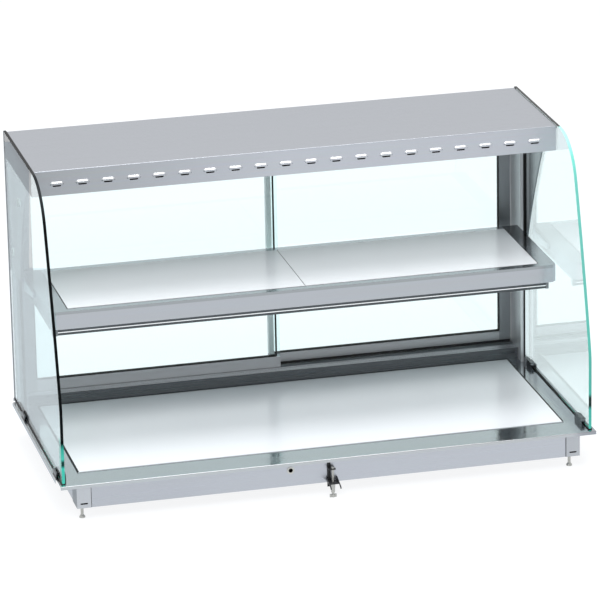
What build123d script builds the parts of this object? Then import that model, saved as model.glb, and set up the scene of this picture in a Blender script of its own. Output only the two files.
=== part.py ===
"""Drop-in heated display: a well that hangs in a worktop, a heated glass deck, a heated glass shelf,
a louvred canopy on two rear columns, curved side glasses and two sliding doors at the back.

Millimetres. X runs along the counter, the customer stands at -Y, Z is up.
The origin is under the middle of the well, on the plane that the feet stand on.
"""

import os
from math import radians, sin

from build123d import *

os.makedirs("parts", exist_ok=True)

# Deck and well
deck_width = 1460.0
deck_depth = 712.0
deck_top = 106.0
sheet = 1.5
deck_lip = 9.0
deck_fold_radius = 2.5
notch_front_width = 4.0
notch_front_length = 55.0
notch_rear_width = 9.0
notch_rear_length = 36.0
well_inset_side = 47.0
well_inset_front = 9.0
well_depth = 68.0

# Corner posts and levelling feet
post_leg_x = 38.0
post_leg_y = 60.0
post_slot_length = 20.0
post_slot_height = 4.0
post_slot_drop = 56.0
foot_inset_x = 19.0
foot_inset_y = 35.0
foot_stud_radius = 4.0
foot_thread_gap = 0.08
foot_stud_reach = 26.0
foot_pad_radius = 8.0
foot_pad_height = 8.0
weld_nut_width = 13.0
weld_nut_height = 6.5

# Deck plate with its foil, insulation and thermostat
plate_side_margin = 70.0
plate_front_margin = 93.4
plate_thickness = 8.0
plate_proud = 2.0
gasket_width = 3.0
gasket_below_plate_top = 1.0
ledge_width = 14.0
foil_thickness = 1.0
foil_inset = 18.0
insulation_thickness = 20.0
thermostat_radius = 9.0
thermostat_height = 12.0
thermostat_hole_gap = 1.0

# Side glasses, their gaskets, seals and clips
glass_thickness = 8.0
glass_inset = 11.4
glass_rise = 763.6
glass_front_inset = 17.9
glass_rear_inset = 4.0
glass_upright = 180.0
glass_knee_radius = 196.0
glass_knee_turn = 13.9
glass_long_turn = 4.7
glass_brow_radius = 149.6
glass_seat = 2.0
base_gasket_lip = 1.0
base_gasket_height = 4.0
top_seal_lip = 1.2
top_seal_height = 8.0
clip_length = 64.0
clip_height = 17.0
clip_thickness = 9.0
clip_end_radius = 7.0
clip_front_from_edge = 67.0
clip_rear_from_column = 36.0
fixing_pad_radius = 12.0

# Columns, gussets and canopy
rear_inset = 8.0
canopy_end_gap = 1.8
canopy_rise = 760.9
canopy_height = 67.5
canopy_depth = 394.0
column_thickness = 13.0
column_depth = 112.0
column_wall = 1.5
gusset_thickness = 3.0
gusset_reach = 184.0
gusset_foot_reach = 25.0
gusset_drop = 319.0
gusset_hollow = 9.0

# Louvres in the canopy front
louvre_count = 20
louvre_end_margin = 59.0
louvre_width = 36.5
louvre_height = 14.0
louvre_reach = 5.0
louvre_wall = 1.2
louvre_taper = 30.0
louvre_below_top = 37.3
louvre_slit_width = 23.0
louvre_slit_height = 6.5
louvre_slit_drop = 3.4

# Heaters and lamp in the canopy
heater_end_margin = 108.8
heater_tube_radius = 6.0
heater_tube_rise = 12.0
heater_holder_length = 14.0
heater_holder_width = 18.0
heater_from_front = (140.0, 240.0)
reflector_radius = 30.0
reflector_wing = 8.0
reflector_sheet = 1.0
guard_bar = 3.0
guard_bar_count = 13
guard_end_margin = 24.0
guard_rail_pitch = 20.0
canopy_lamp_end_margin = 68.8
canopy_lamp_from_front = 50.0
canopy_lamp_width = 24.0
canopy_lamp_height = 12.0
canopy_lamp_cover = 2.0

# Rear sill, upper track and doors
sill_depth = 85.0
sill_height = 33.0
sill_wall = 2.0
front_groove_inset = 42.0
rear_groove_inset = 15.0
groove_width = 20.0
sill_groove_depth = 12.0
track_depth = 68.0
track_height = 32.0
track_web = 3.0
door_thickness = 16.0
door_running_gap = 2.0
door_lift_gap = 4.0
door_end_gap = 3.0
door_bottom_rail = 41.0
door_top_rail = 20.0
door_glass_thickness = 6.0
door_glass_bite = 9.0
left_door_past_middle = 20.0
right_door_past_middle = 6.0
closing_stile_width = 32.0
meeting_stile_width = 14.0
glide_length = 30.0
glide_width = 13.0
glide_gap = 0.3
glide_inset = 60.0
pull_length = 110.0
pull_width = 14.0
pull_depth = 4.0
pull_rise = 330.0

# Heated shelf and the plates that hang it on the columns
shelf_rise = 395.7
shelf_front_reach = 465.5
shelf_rear_inset = 97.0
shelf_face = 48.0
shelf_corner_cut = 10.0
shelf_plate_side_margin = 46.1
shelf_plate_front_margin = 24.5
shelf_plate_rear_margin = 24.6
shelf_plate_thickness = 6.0
shelf_plate_proud = 1.0
shelf_plate_joint = 2.0
shelf_gasket_width = 2.5
shelf_ledge = 12.0
shelf_insulation_thickness = 18.0
hanger_thickness = 4.5
hanger_reach = 150.0
hanger_height = 34.0
hanger_nose = 14.0

# Lamp under the front of the shelf
lamp_from_shelf_front = 43.5
lamp_block_length = 14.0
lamp_block_width = 20.0
lamp_block_height = 50.7
lamp_strip_width = 16.0
lamp_strip_height = 5.0
lamp_strip_drop = 32.0
lamp_led_width = 8.0
lamp_led_depth = 1.5
lamp_rod_radius = 3.5
lamp_rod_drop = 45.0

# Worktop clamps
clamp_strip_width = 9.0
clamp_strip_side = 12.0
clamp_strip_sheet = 2.5
clamp_strip_length = 78.0
clamp_tab_drop = 25.0
clamp_tab_reach = 20.0
clamp_tab_side = 7.0
clamp_screw_reach = 14.0
clamp_screw_radius = 3.5
clamp_thread_gap = 0.08
clamp_collar_gap = 0.1
clamp_cap_radius = 4.8
clamp_cap_height = 4.0
clamp_collar_radius = 5.2
clamp_collar_height = 2.0
claw_half_width = 14.5
claw_sheet = 2.5
claw_back_gap = 0.6
claw_reach = 48.0
claw_base_reach = 32.0
claw_base_drop = 64.0
claw_back_rise = 12.0
claw_nose_top = 2.5
claw_nose_drop = 8.0
claw_seat_gap = 0.3
sleeve_length = 28.0
sleeve_top_radius = 6.5
sleeve_low_radius = 5.0
neck_radius = 3.0
wing_rise = 0.6
wing_height = 8.0
wing_span = 19.0
wing_thickness = 4.0
wing_hub_radius = 4.5

# Wall insert, cable gland and terminal box
insert_x = -110.5
insert_drop = 24.0
insert_bore_radius = 5.75
insert_barrel_radius = 7.5
insert_flange_radius = 10.0
insert_flange_height = 1.6
insert_inside = 8.0
gland_from_side = 123.0
gland_drop = 38.0
gland_bore_radius = 5.0
gland_barrel_radius = 10.0
gland_hex_width = 24.0
gland_hex_height = 8.0
gland_dome_height = 14.0
gland_inside = 9.0
box_length = 110.0
box_depth = 60.0
box_height = 40.0
box_wall = 2.5
box_drop = 18.0

# Places that follow from the sizes above
deck_under = deck_top - sheet
well_x = deck_width / 2 - well_inset_side
well_y = deck_depth / 2 - well_inset_front
well_floor = deck_top - well_depth
wall_x = well_x - sheet
wall_y = well_y - sheet
foot_x = well_x - foot_inset_x
gland_x = well_x - gland_from_side
foot_y = well_y - foot_inset_y
rear_y = deck_depth / 2 - rear_inset
glass_out = deck_width / 2 - glass_inset
glass_in = glass_out - glass_thickness
glass_middle = glass_out - glass_thickness / 2
glass_front = -deck_depth / 2 + glass_front_inset
glass_rear = deck_depth / 2 - glass_rear_inset
glass_bottom = deck_top + glass_seat
glass_top = deck_top + glass_rise
canopy_half = glass_in - canopy_end_gap
canopy_top = deck_top + canopy_rise
canopy_under = canopy_top - canopy_height
canopy_front = rear_y - canopy_depth
panel_top = canopy_under + sheet
louvre_pitch = 2 * (canopy_half - louvre_end_margin) / (louvre_count - 1)
canopy_lamp_half_length = canopy_half - canopy_lamp_end_margin
heater_half_length = canopy_half - heater_end_margin
guard_bar_pitch = 2 * (heater_half_length - guard_end_margin) / (guard_bar_count - 1)
heater_y = [canopy_front + reach for reach in heater_from_front]
heater_z = panel_top + heater_tube_rise
column_out = canopy_half - gusset_thickness
column_in = column_out - column_thickness
column_front = rear_y - column_depth
column_middle_y = rear_y - column_depth / 2
sill_front = rear_y - sill_depth
sill_top = deck_top + sill_height
groove_floor = sill_top - sill_groove_depth
groove_y = {"left": rear_y - front_groove_inset, "right": rear_y - rear_groove_inset}
track_under = canopy_under - track_height
plate_top = deck_top + plate_proud
plate_under = plate_top - plate_thickness
plate_width = deck_width - 2 * plate_side_margin
plate_front = -deck_depth / 2 + plate_front_margin
plate_back = sill_front - gasket_width
plate_depth = plate_back - plate_front
plate_y = (plate_front + plate_back) / 2
foil_under = plate_under - foil_thickness
door_bottom = groove_floor + door_running_gap
door_top = canopy_under - track_web - door_lift_gap
door_outer = column_in - door_end_gap
rail_top = door_bottom + door_bottom_rail
rail_under = door_top - door_top_rail
door_ends = {
    "left": (-door_outer, left_door_past_middle),
    "right": (-right_door_past_middle, door_outer),
}
shelf_top = deck_top + shelf_rise
shelf_under = shelf_top - shelf_face
shelf_front = rear_y - shelf_front_reach
shelf_rear = rear_y - shelf_rear_inset
shelf_plate_under = shelf_top + shelf_plate_proud - shelf_plate_thickness
shelf_half_width = column_in - hanger_thickness
shelf_plate_half_width = shelf_half_width - shelf_plate_side_margin
shelf_plate_depth = shelf_rear - shelf_front - shelf_plate_front_margin - shelf_plate_rear_margin
shelf_plate_y = shelf_rear - shelf_plate_rear_margin - shelf_plate_depth / 2
lamp_y = shelf_front + lamp_from_shelf_front
clamp_tab_top = deck_top - clamp_tab_drop
claw_base_under = deck_top - claw_base_drop
sides = {"left": -1, "right": 1}
ends = {"front": -1, "rear": 1}


def keep(part, label):
    """Names a finished piece and writes it."""
    part.label = label
    export_step(part, f"parts/{label}.step")


# Deck: one folded sheet with a lip all round, relief notches and a sunk ledge that carries the plate
with BuildPart() as top_deck:
    with BuildSketch(Plane.XY.offset(deck_top - deck_lip)):
        Rectangle(deck_width, deck_depth)
    extrude(amount=deck_lip)
    fillet(top_deck.edges().group_by(Axis.Z)[-1], deck_fold_radius)
    with BuildSketch(Plane.XY.offset(deck_top - deck_lip)):
        Rectangle(deck_width - 2 * sheet, deck_depth - 2 * sheet)
    extrude(amount=deck_lip - sheet, mode=Mode.SUBTRACT)
    with BuildSketch(Plane.XY.offset(deck_top - deck_lip)):
        for x in (-deck_width / 2, deck_width / 2):
            with Locations((x, -deck_depth / 2 + notch_front_length / 2)):
                Rectangle(2 * notch_front_width, notch_front_length)
            with Locations((x, deck_depth / 2 - notch_rear_length / 2)):
                Rectangle(2 * notch_rear_width, notch_rear_length)
    extrude(amount=deck_lip, mode=Mode.SUBTRACT)
    with BuildSketch(Plane.XY.offset(plate_under - sheet)):
        with Locations((0, plate_y)):
            Rectangle(
                plate_width + 2 * gasket_width + 2 * sheet,
                plate_depth + 2 * gasket_width + 2 * sheet,
            )
    extrude(amount=deck_top - plate_under + sheet)
    with BuildSketch(Plane.XY.offset(plate_under)):
        with Locations((0, plate_y)):
            Rectangle(plate_width + 2 * gasket_width, plate_depth + 2 * gasket_width)
    extrude(amount=deck_top - plate_under, mode=Mode.SUBTRACT)
    with BuildSketch(Plane.XY.offset(plate_under - sheet)):
        with Locations((0, plate_y)):
            Rectangle(plate_width - 2 * ledge_width, plate_depth - 2 * ledge_width)
    extrude(amount=sheet, mode=Mode.SUBTRACT)
keep(top_deck.part, "top_deck")


# Well walls: a ring of sheet under the deck, cut back at the foot of each corner for the posts
with BuildPart() as well_walls:
    with BuildSketch(Plane.XY.offset(well_floor)):
        Rectangle(2 * wall_x, 2 * wall_y)
        Rectangle(2 * (wall_x - sheet), 2 * (wall_y - sheet), mode=Mode.SUBTRACT)
    extrude(amount=deck_under - well_floor)
    with BuildSketch(Plane.XY.offset(well_floor)):
        with GridLocations(2 * well_x, 2 * well_y, 2, 2):
            Rectangle(2 * post_leg_x, 2 * post_leg_y)
    extrude(amount=sheet, mode=Mode.SUBTRACT)
    with BuildSketch(Plane.XZ.offset(wall_y)):
        with Locations((-foot_x, deck_top - post_slot_drop), (foot_x, deck_top - post_slot_drop)):
            SlotOverall(post_slot_length, post_slot_height)
    extrude(amount=-2 * wall_y, mode=Mode.SUBTRACT)
    with BuildSketch(Plane.XZ.offset(wall_y)):
        with Locations((insert_x, deck_top - insert_drop)):
            Circle(insert_barrel_radius)
    extrude(amount=-sheet, mode=Mode.SUBTRACT)
    with BuildSketch(Plane.XZ.offset(-wall_y)):
        with Locations((gland_x, deck_top - gland_drop)):
            Circle(gland_barrel_radius)
    extrude(amount=sheet, mode=Mode.SUBTRACT)
keep(well_walls.part, "well_walls")

# Bottom cover: a flat sheet cut back round the corner posts
with BuildPart() as bottom_cover:
    with BuildSketch(Plane.XY.offset(well_floor)):
        Rectangle(2 * (wall_x - sheet), 2 * (wall_y - sheet))
        with GridLocations(2 * well_x, 2 * well_y, 2, 2):
            Rectangle(2 * post_leg_x, 2 * post_leg_y, mode=Mode.SUBTRACT)
    extrude(amount=sheet)
keep(bottom_cover.part, "bottom_cover")


# Corner posts: an angle with a slot, a foot plate and a weld nut for the levelling foot
def corner_post(x_sign, y_sign):
    corner = (x_sign * well_x, y_sign * well_y)
    inner_corner = (x_sign * wall_x, y_sign * wall_y)
    foot = (x_sign * foot_x, y_sign * foot_y)
    with BuildPart() as post:
        with BuildSketch(Plane.XY.offset(well_floor)) as angle:
            with Locations(corner):
                Rectangle(2 * post_leg_x, 2 * post_leg_y)
            Rectangle(2 * well_x, 2 * well_y, mode=Mode.INTERSECT)
        extrude(amount=sheet)
        with BuildSketch(Plane.XY.offset(well_floor + sheet)):
            add(angle.sketch_local)
            with Locations(inner_corner):
                Rectangle(2 * post_leg_x, 2 * post_leg_y)
            Rectangle(2 * well_x, 2 * well_y, mode=Mode.INTERSECT)
            Rectangle(2 * wall_x, 2 * wall_y, mode=Mode.SUBTRACT)
        extrude(amount=deck_under - well_floor - sheet)
        with BuildSketch(Plane.XZ.offset(-y_sign * well_y)):
            with Locations((foot[0], deck_top - post_slot_drop)):
                SlotOverall(post_slot_length, post_slot_height)
        extrude(amount=y_sign * sheet, mode=Mode.SUBTRACT)
        with BuildSketch(Plane.XY.offset(well_floor + sheet)):
            with Locations(foot):
                RegularPolygon(weld_nut_width / 2, 6, major_radius=False)
        extrude(amount=weld_nut_height)
        with BuildSketch(Plane.XY.offset(well_floor)):
            with Locations(foot):
                Circle(foot_stud_radius + foot_thread_gap)
        extrude(amount=sheet + weld_nut_height, mode=Mode.SUBTRACT)
    return post.part


# Levelling foot: a stud on a domed pad
def levelling_foot(x_sign, y_sign):
    stud_top = well_floor + foot_stud_reach
    with BuildPart() as foot:
        with BuildSketch(Plane.XZ):
            with BuildLine():
                Polyline(
                    (0, 0),
                    (foot_pad_radius, 0),
                    (foot_pad_radius, foot_pad_height / 3),
                    (foot_pad_radius * 0.7, foot_pad_height * 0.8),
                    (foot_stud_radius, foot_pad_height),
                    (foot_stud_radius, stud_top),
                    (0, stud_top),
                    close=True,
                )
            make_face()
        revolve(axis=Axis.Z)
    return foot.part.moved(Location((x_sign * foot_x, y_sign * foot_y, 0)))


with BuildPart() as corner_posts:
    for x_sign in sides.values():
        for y_sign in ends.values():
            add(corner_post(x_sign, y_sign))
keep(corner_posts.part, "corner_posts")
for end, y_sign in ends.items():
    for side, x_sign in sides.items():
        keep(levelling_foot(x_sign, y_sign), f"foot_{end}_{side}")

# Deck plate: white toughened glass in a silicone joint, with its heating foil and insulation below
with BuildPart() as deck_plate:
    with BuildSketch(Plane.XY.offset(plate_under)):
        with Locations((0, plate_y)):
            Rectangle(plate_width, plate_depth)
    extrude(amount=plate_thickness)
keep(deck_plate.part, "deck_plate")

with BuildPart() as deck_plate_gasket:
    with BuildSketch(Plane.XY.offset(plate_under)):
        with Locations((0, plate_y)):
            Rectangle(plate_width + 2 * gasket_width, plate_depth + 2 * gasket_width)
            Rectangle(plate_width, plate_depth, mode=Mode.SUBTRACT)
    extrude(amount=plate_thickness - gasket_below_plate_top)
keep(deck_plate_gasket.part, "deck_plate_gasket")

with BuildPart() as deck_heating_foil:
    with BuildSketch(Plane.XY.offset(foil_under)):
        with Locations((0, plate_y)):
            Rectangle(plate_width - 2 * foil_inset, plate_depth - 2 * foil_inset)
    extrude(amount=foil_thickness)
keep(deck_heating_foil.part, "deck_heating_foil")

with BuildPart() as deck_insulation:
    with BuildSketch(Plane.XY.offset(foil_under)):
        with Locations((0, plate_y)):
            Rectangle(plate_width - 2 * foil_inset, plate_depth - 2 * foil_inset)
            Circle(thermostat_radius + thermostat_hole_gap, mode=Mode.SUBTRACT)
    extrude(amount=-insulation_thickness)
keep(deck_insulation.part, "deck_insulation")

with BuildPart() as deck_thermostat:
    with BuildSketch(Plane.XY.offset(foil_under)):
        with Locations((0, plate_y)):
            Circle(thermostat_radius)
    extrude(amount=-thermostat_height)
keep(deck_thermostat.part, "deck_thermostat")


# Side glass: upright at the front, then leaning back and rounding over into a level top edge
def side_glass(sign):
    lean = glass_knee_turn + glass_long_turn
    knee_sine = sin(radians(glass_knee_turn))
    lean_sine = sin(radians(lean))
    knee_rise = glass_knee_radius * knee_sine
    brow_rise = glass_brow_radius * (1 - lean_sine)
    bend_rise = glass_rise - glass_seat - glass_upright - knee_rise - brow_rise
    bend_radius = bend_rise / (lean_sine - knee_sine)
    with BuildPart() as glass:
        with BuildSketch(Plane.YZ.offset(sign * glass_in)):
            with BuildLine():
                upright = Line((glass_front, glass_bottom), (glass_front, glass_bottom + glass_upright))
                knee = JernArc(upright @ 1, upright % 1, glass_knee_radius, -glass_knee_turn)
                bend = JernArc(knee @ 1, knee % 1, bend_radius, -glass_long_turn)
                brow = JernArc(bend @ 1, bend % 1, glass_brow_radius, lean - 90)
                Polyline(brow @ 1, (glass_rear, glass_top), (glass_rear, glass_bottom), upright @ 0)
            make_face()
        extrude(amount=sign * glass_thickness)
    return glass.part


clip_y = {
    "front": glass_front + clip_front_from_edge,
    "rear": column_front - clip_rear_from_column,
}


# Base gasket: a black channel under the glass, cut back where the clips stand
def base_gasket(sign):
    middle = (sign * glass_middle, (glass_rear + glass_front) / 2)
    length = glass_rear - glass_front
    with BuildPart() as gasket:
        with BuildSketch(Plane.XY.offset(deck_top)):
            with Locations(middle):
                Rectangle(glass_thickness + 2 * base_gasket_lip, length)
        extrude(amount=base_gasket_height)
        with BuildSketch(Plane.XY.offset(glass_bottom)):
            with Locations(middle):
                Rectangle(glass_thickness, length)
        extrude(amount=base_gasket_height, mode=Mode.SUBTRACT)
        with BuildSketch(Plane.XY.offset(deck_top)):
            for y in clip_y.values():
                with Locations((sign * (glass_in - clip_thickness / 2), y)):
                    Rectangle(clip_thickness, clip_length)
        extrude(amount=base_gasket_height, mode=Mode.SUBTRACT)
    return gasket.part


# Top seal: a black lip between the canopy end and the glass, over the straight top edge
def top_seal(sign):
    with BuildPart() as seal:
        with BuildSketch(Plane.XZ.offset(-canopy_front)):
            with Locations((sign * (canopy_half + canopy_end_gap / 2), canopy_top - canopy_height / 2)):
                Rectangle(canopy_end_gap, canopy_height)
        extrude(amount=canopy_front - rear_y)
    return seal.part


# Base clip: a pressed block with rounded ends that grips the foot of the glass
def base_clip(sign, y):
    with BuildPart() as clip:
        with BuildSketch(Plane.YZ.offset(sign * glass_in)):
            with Locations((y, deck_top + clip_height / 2)):
                Rectangle(clip_length, clip_height)
        extrude(amount=-sign * clip_thickness)
        fillet(clip.edges().filter_by(Axis.X).group_by(Axis.Z)[-1], clip_end_radius)
    return clip.part


for side, sign in sides.items():
    keep(side_glass(sign), f"side_glass_{side}")

with BuildPart() as base_gaskets:
    for sign in sides.values():
        add(base_gasket(sign))
keep(base_gaskets.part, "glass_base_gaskets")

with BuildPart() as end_seals:
    for sign in sides.values():
        add(top_seal(sign))
keep(end_seals.part, "canopy_end_seals")

with BuildPart() as glass_clips:
    for sign in sides.values():
        for y in clip_y.values():
            add(base_clip(sign, y))
keep(glass_clips.part, "glass_clips")


# Columns: flat box sections that stand on the deck and carry the canopy
def column(sign):
    with BuildPart() as post:
        with BuildSketch(Plane.XY.offset(deck_top)):
            with Locations((sign * (column_in + column_out) / 2, column_middle_y)):
                Rectangle(column_thickness, column_depth)
                inner_thickness = column_thickness - 2 * column_wall
                Rectangle(inner_thickness, column_depth - 2 * column_wall, mode=Mode.SUBTRACT)
        extrude(amount=canopy_under - deck_top)
    return post.part


# Gussets: tapered plates outside the columns with a hollowed front edge, from canopy down to shelf
def gusset(sign):
    toe_z = canopy_under - gusset_drop
    with BuildPart() as plate:
        with BuildSketch(Plane.YZ.offset(sign * column_out)):
            with BuildLine():
                edge = SagittaArc(
                    (column_front - gusset_reach, canopy_under),
                    (column_front - gusset_foot_reach, toe_z),
                    gusset_hollow,
                )
                Polyline(edge @ 1, (rear_y, toe_z), (rear_y, canopy_under), edge @ 0)
            make_face()
        extrude(amount=sign * gusset_thickness)
    return plate.part


# Fixing pads: bonding discs between each gusset and its glass
def fixing_pads(sign):
    with BuildPart() as pads:
        with BuildSketch(Plane.YZ.offset(sign * canopy_half)):
            with Locations(
                (column_front - gusset_reach / 3, canopy_under - gusset_drop / 4),
                (column_middle_y, canopy_under - gusset_drop * 0.8),
            ):
                Circle(fixing_pad_radius)
        extrude(amount=sign * canopy_end_gap)
    return pads.part


for side, sign in sides.items():
    keep(column(sign), f"column_{side}")

with BuildPart() as gussets:
    for sign in sides.values():
        add(gusset(sign))
keep(gussets.part, "column_gussets")

with BuildPart() as pads:
    for sign in sides.values():
        add(fixing_pads(sign))
keep(pads.part, "glass_fixing_pads")

# Canopy cover: the top, back and ends, folded from one sheet
with BuildPart() as canopy_cover:
    with BuildSketch(Plane.XY.offset(canopy_under)):
        with Locations((0, rear_y - canopy_depth / 2)):
            Rectangle(2 * canopy_half, canopy_depth)
    extrude(amount=canopy_height)
    with BuildSketch(Plane.XY.offset(canopy_under)):
        with Locations((0, rear_y - sheet - canopy_depth / 2)):
            Rectangle(2 * (canopy_half - sheet), canopy_depth)
        with Locations((0, canopy_front + sheet / 2)):
            Rectangle(2 * canopy_half, sheet)
    extrude(amount=canopy_height - sheet, mode=Mode.SUBTRACT)
keep(canopy_cover.part, "canopy_cover")

# Louvre: a thin eyebrow hood pressed out of the sheet, open along its lower side
louvre_row = Plane(
    origin=(0, canopy_front, canopy_top - louvre_below_top),
    x_dir=(1, 0, 0),
    z_dir=(0, -1, 0),
)
with BuildPart() as louvre:
    with BuildSketch(louvre_row):
        SlotOverall(louvre_width, louvre_height)
    extrude(amount=louvre_reach, taper=louvre_taper)
    with BuildSketch(louvre_row):
        SlotOverall(louvre_width - 2 * louvre_wall, louvre_height - 2 * louvre_wall)
    extrude(amount=louvre_reach - louvre_wall, taper=louvre_taper, mode=Mode.SUBTRACT)
    with BuildSketch(louvre_row):
        with Locations((0, -louvre_height / 2 - louvre_wall)):
            Rectangle(2 * louvre_width, louvre_height)
    extrude(amount=2 * louvre_reach, mode=Mode.SUBTRACT)

# Canopy front: the sheet that carries the row of louvres, with a slit behind each hood
with BuildPart() as canopy_front_panel:
    with BuildSketch(Plane.XY.offset(canopy_under)):
        with Locations((0, canopy_front + sheet / 2)):
            Rectangle(2 * canopy_half, sheet)
    extrude(amount=canopy_height - sheet)
    with GridLocations(louvre_pitch, 0, louvre_count, 1):
        add(louvre.part)
    with BuildSketch(louvre_row):
        with Locations((0, -louvre_slit_drop)):
            with GridLocations(louvre_pitch, 0, louvre_count, 1):
                SlotOverall(louvre_slit_width, louvre_slit_height)
    extrude(amount=-sheet, mode=Mode.SUBTRACT)
keep(canopy_front_panel.part, "canopy_front_panel")

# Canopy underside: a panel with a long window under each heater
with BuildPart() as canopy_underside:
    with BuildSketch(Plane.XY.offset(canopy_under)):
        with Locations((0, (rear_y + canopy_front) / 2)):
            Rectangle(2 * (canopy_half - sheet), canopy_depth - 2 * sheet)
        for y in heater_y:
            with Locations((0, y)):
                Rectangle(2 * heater_half_length, 2 * reflector_radius, mode=Mode.SUBTRACT)
    extrude(amount=sheet)
keep(canopy_underside.part, "canopy_underside")


# Reflector: a polished half-round trough whose wings lie on the underside panel
def reflector(y):
    half_length = heater_half_length + heater_holder_length
    with BuildPart() as trough:
        with BuildSketch(Plane.YZ.offset(-half_length)):
            with Locations((y, panel_top)):
                Circle(reflector_radius + reflector_sheet)
                Rectangle(2 * (reflector_radius + reflector_wing), 2 * reflector_sheet)
                Circle(reflector_radius, mode=Mode.SUBTRACT)
            with Locations((y, panel_top - reflector_radius)):
                Rectangle(4 * reflector_radius, 2 * reflector_radius, mode=Mode.SUBTRACT)
        extrude(amount=2 * half_length)
    return trough.part


with BuildPart() as reflectors:
    for y in heater_y:
        add(reflector(y))
keep(reflectors.part, "canopy_reflectors")

# Heater tubes: infrared rods held at each end by ceramic blocks that fill the trough
with BuildPart() as heater_tubes:
    with BuildSketch(Plane.YZ.offset(-heater_half_length)):
        with Locations(*[(y, heater_z) for y in heater_y]):
            Circle(heater_tube_radius)
    extrude(amount=2 * heater_half_length)
keep(heater_tubes.part, "heater_tubes")

with BuildPart() as heater_holders:
    for sign in sides.values():
        with BuildSketch(Plane.YZ.offset(sign * heater_half_length)):
            with Locations(*[(y, panel_top) for y in heater_y]):
                Circle(reflector_radius)
            with Locations((canopy_front, panel_top + reflector_radius)):
                Rectangle(4 * canopy_depth, 2 * reflector_radius, mode=Mode.INTERSECT)
            with Locations(*[(y, panel_top) for y in heater_y]):
                Rectangle(heater_holder_width, 2 * reflector_radius, mode=Mode.INTERSECT)
        extrude(amount=sign * heater_holder_length)
keep(heater_holders.part, "heater_holders")

# Heater guards: ladders of thin bars under the windows
with BuildPart() as heater_guards:
    with BuildSketch(Plane.XY.offset(canopy_under)):
        for y in heater_y:
            with Locations((0, y)):
                with GridLocations(guard_bar_pitch, 0, guard_bar_count, 1):
                    Rectangle(guard_bar, 2 * (reflector_radius + reflector_wing))
                with GridLocations(0, guard_rail_pitch, 1, 2):
                    Rectangle(guard_bar_pitch * (guard_bar_count - 1), guard_bar)
    extrude(amount=-guard_bar)
keep(heater_guards.part, "heater_guards")

# Canopy lamp: a channel along the front of the underside with an opal cover in its mouth
with BuildPart() as canopy_lamp:
    with BuildSketch(Plane.YZ.offset(-canopy_lamp_half_length)):
        with Locations((canopy_front + canopy_lamp_from_front, canopy_under - canopy_lamp_height / 2)):
            Rectangle(canopy_lamp_width, canopy_lamp_height)
        with Locations((canopy_front + canopy_lamp_from_front, canopy_under - canopy_lamp_height)):
            mouth = canopy_lamp_width - 2 * sheet
            Rectangle(mouth, 2 * (canopy_lamp_height - sheet), mode=Mode.SUBTRACT)
    extrude(amount=2 * canopy_lamp_half_length)
keep(canopy_lamp.part, "canopy_lamp_channel")

with BuildPart() as canopy_lamp_opal:
    with BuildSketch(Plane.YZ.offset(-canopy_lamp_half_length)):
        opal_z = canopy_under - canopy_lamp_height + canopy_lamp_cover / 2
        with Locations((canopy_front + canopy_lamp_from_front, opal_z)):
            Rectangle(canopy_lamp_width - 2 * sheet, canopy_lamp_cover)
    extrude(amount=2 * canopy_lamp_half_length)
keep(canopy_lamp_opal.part, "canopy_lamp_cover")

# Rear sill: a raised hollow extrusion between the columns with one groove for each door
with BuildPart() as rear_sill:
    with BuildSketch(Plane.YZ.offset(-column_in)):
        with Locations((rear_y - sill_depth / 2, deck_top + sill_height / 2)):
            Rectangle(sill_depth, sill_height)
        with Locations(*[(y, sill_top - sill_groove_depth / 2) for y in groove_y.values()]):
            Rectangle(groove_width, sill_groove_depth, mode=Mode.SUBTRACT)
        offset(amount=-sill_wall, kind=Kind.INTERSECTION, mode=Mode.SUBTRACT)
    extrude(amount=2 * column_in)
keep(rear_sill.part, "rear_sill")

# Upper track: a channel with a fin between the doors, under the back of the canopy
with BuildPart() as upper_track:
    with BuildSketch(Plane.YZ.offset(-column_in)):
        with Locations((rear_y - track_depth / 2, track_under + track_height / 2)):
            Rectangle(track_depth, track_height)
        with Locations(*[(y, track_under + (track_height - track_web) / 2) for y in groove_y.values()]):
            Rectangle(groove_width, track_height - track_web, mode=Mode.SUBTRACT)
    extrude(amount=2 * column_in)
keep(upper_track.part, "upper_track")


# Door rails: slotted bars along the foot and the head of a door
def door_rail(door, low, high, slot_z):
    x0, x1 = door_ends[door]
    with BuildPart() as rail:
        with BuildSketch(Plane.YZ.offset(x0)):
            with Locations((groove_y[door], (low + high) / 2)):
                Rectangle(door_thickness, high - low)
            with Locations((groove_y[door], slot_z)):
                Rectangle(door_glass_thickness, 2 * door_glass_bite, mode=Mode.SUBTRACT)
        extrude(amount=x1 - x0)
    return rail.part


# Door stile: an upright bar between the rails, slotted for the glass
def door_stile(door, width, side):
    end_x = door_ends[door][0 if side < 0 else 1]
    with BuildPart() as stile:
        with BuildSketch(Plane.XY.offset(rail_top)):
            with Locations((end_x - side * width / 2, groove_y[door])):
                Rectangle(width, door_thickness)
            with Locations((end_x - side * width, groove_y[door])):
                Rectangle(2 * door_glass_bite, door_glass_thickness, mode=Mode.SUBTRACT)
        extrude(amount=rail_under - rail_top)
    return stile.part


# Closing stile: a wide stile with a finger recess on the serving side
def closing_stile(door, side):
    pull_x = door_ends[door][0 if side < 0 else 1] - side * closing_stile_width / 2
    with BuildPart() as stile:
        add(door_stile(door, closing_stile_width, side))
        with BuildSketch(Plane.XZ.offset(-groove_y[door] - door_thickness / 2)):
            with Locations((pull_x, rail_top + pull_rise)):
                SlotOverall(pull_length, pull_width, rotation=90)
        extrude(amount=pull_depth, mode=Mode.SUBTRACT)
    return stile.part


# Door glass: one pane that sits in the slots of its frame
def door_glass(door, low, high):
    with BuildPart() as pane:
        with BuildSketch(Plane.XY.offset(rail_top - door_glass_bite)):
            with Locations(((low + high) / 2, groove_y[door])):
                Rectangle(high - low, door_glass_thickness)
        extrude(amount=rail_under - rail_top + 2 * door_glass_bite)
    return pane.part


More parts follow.
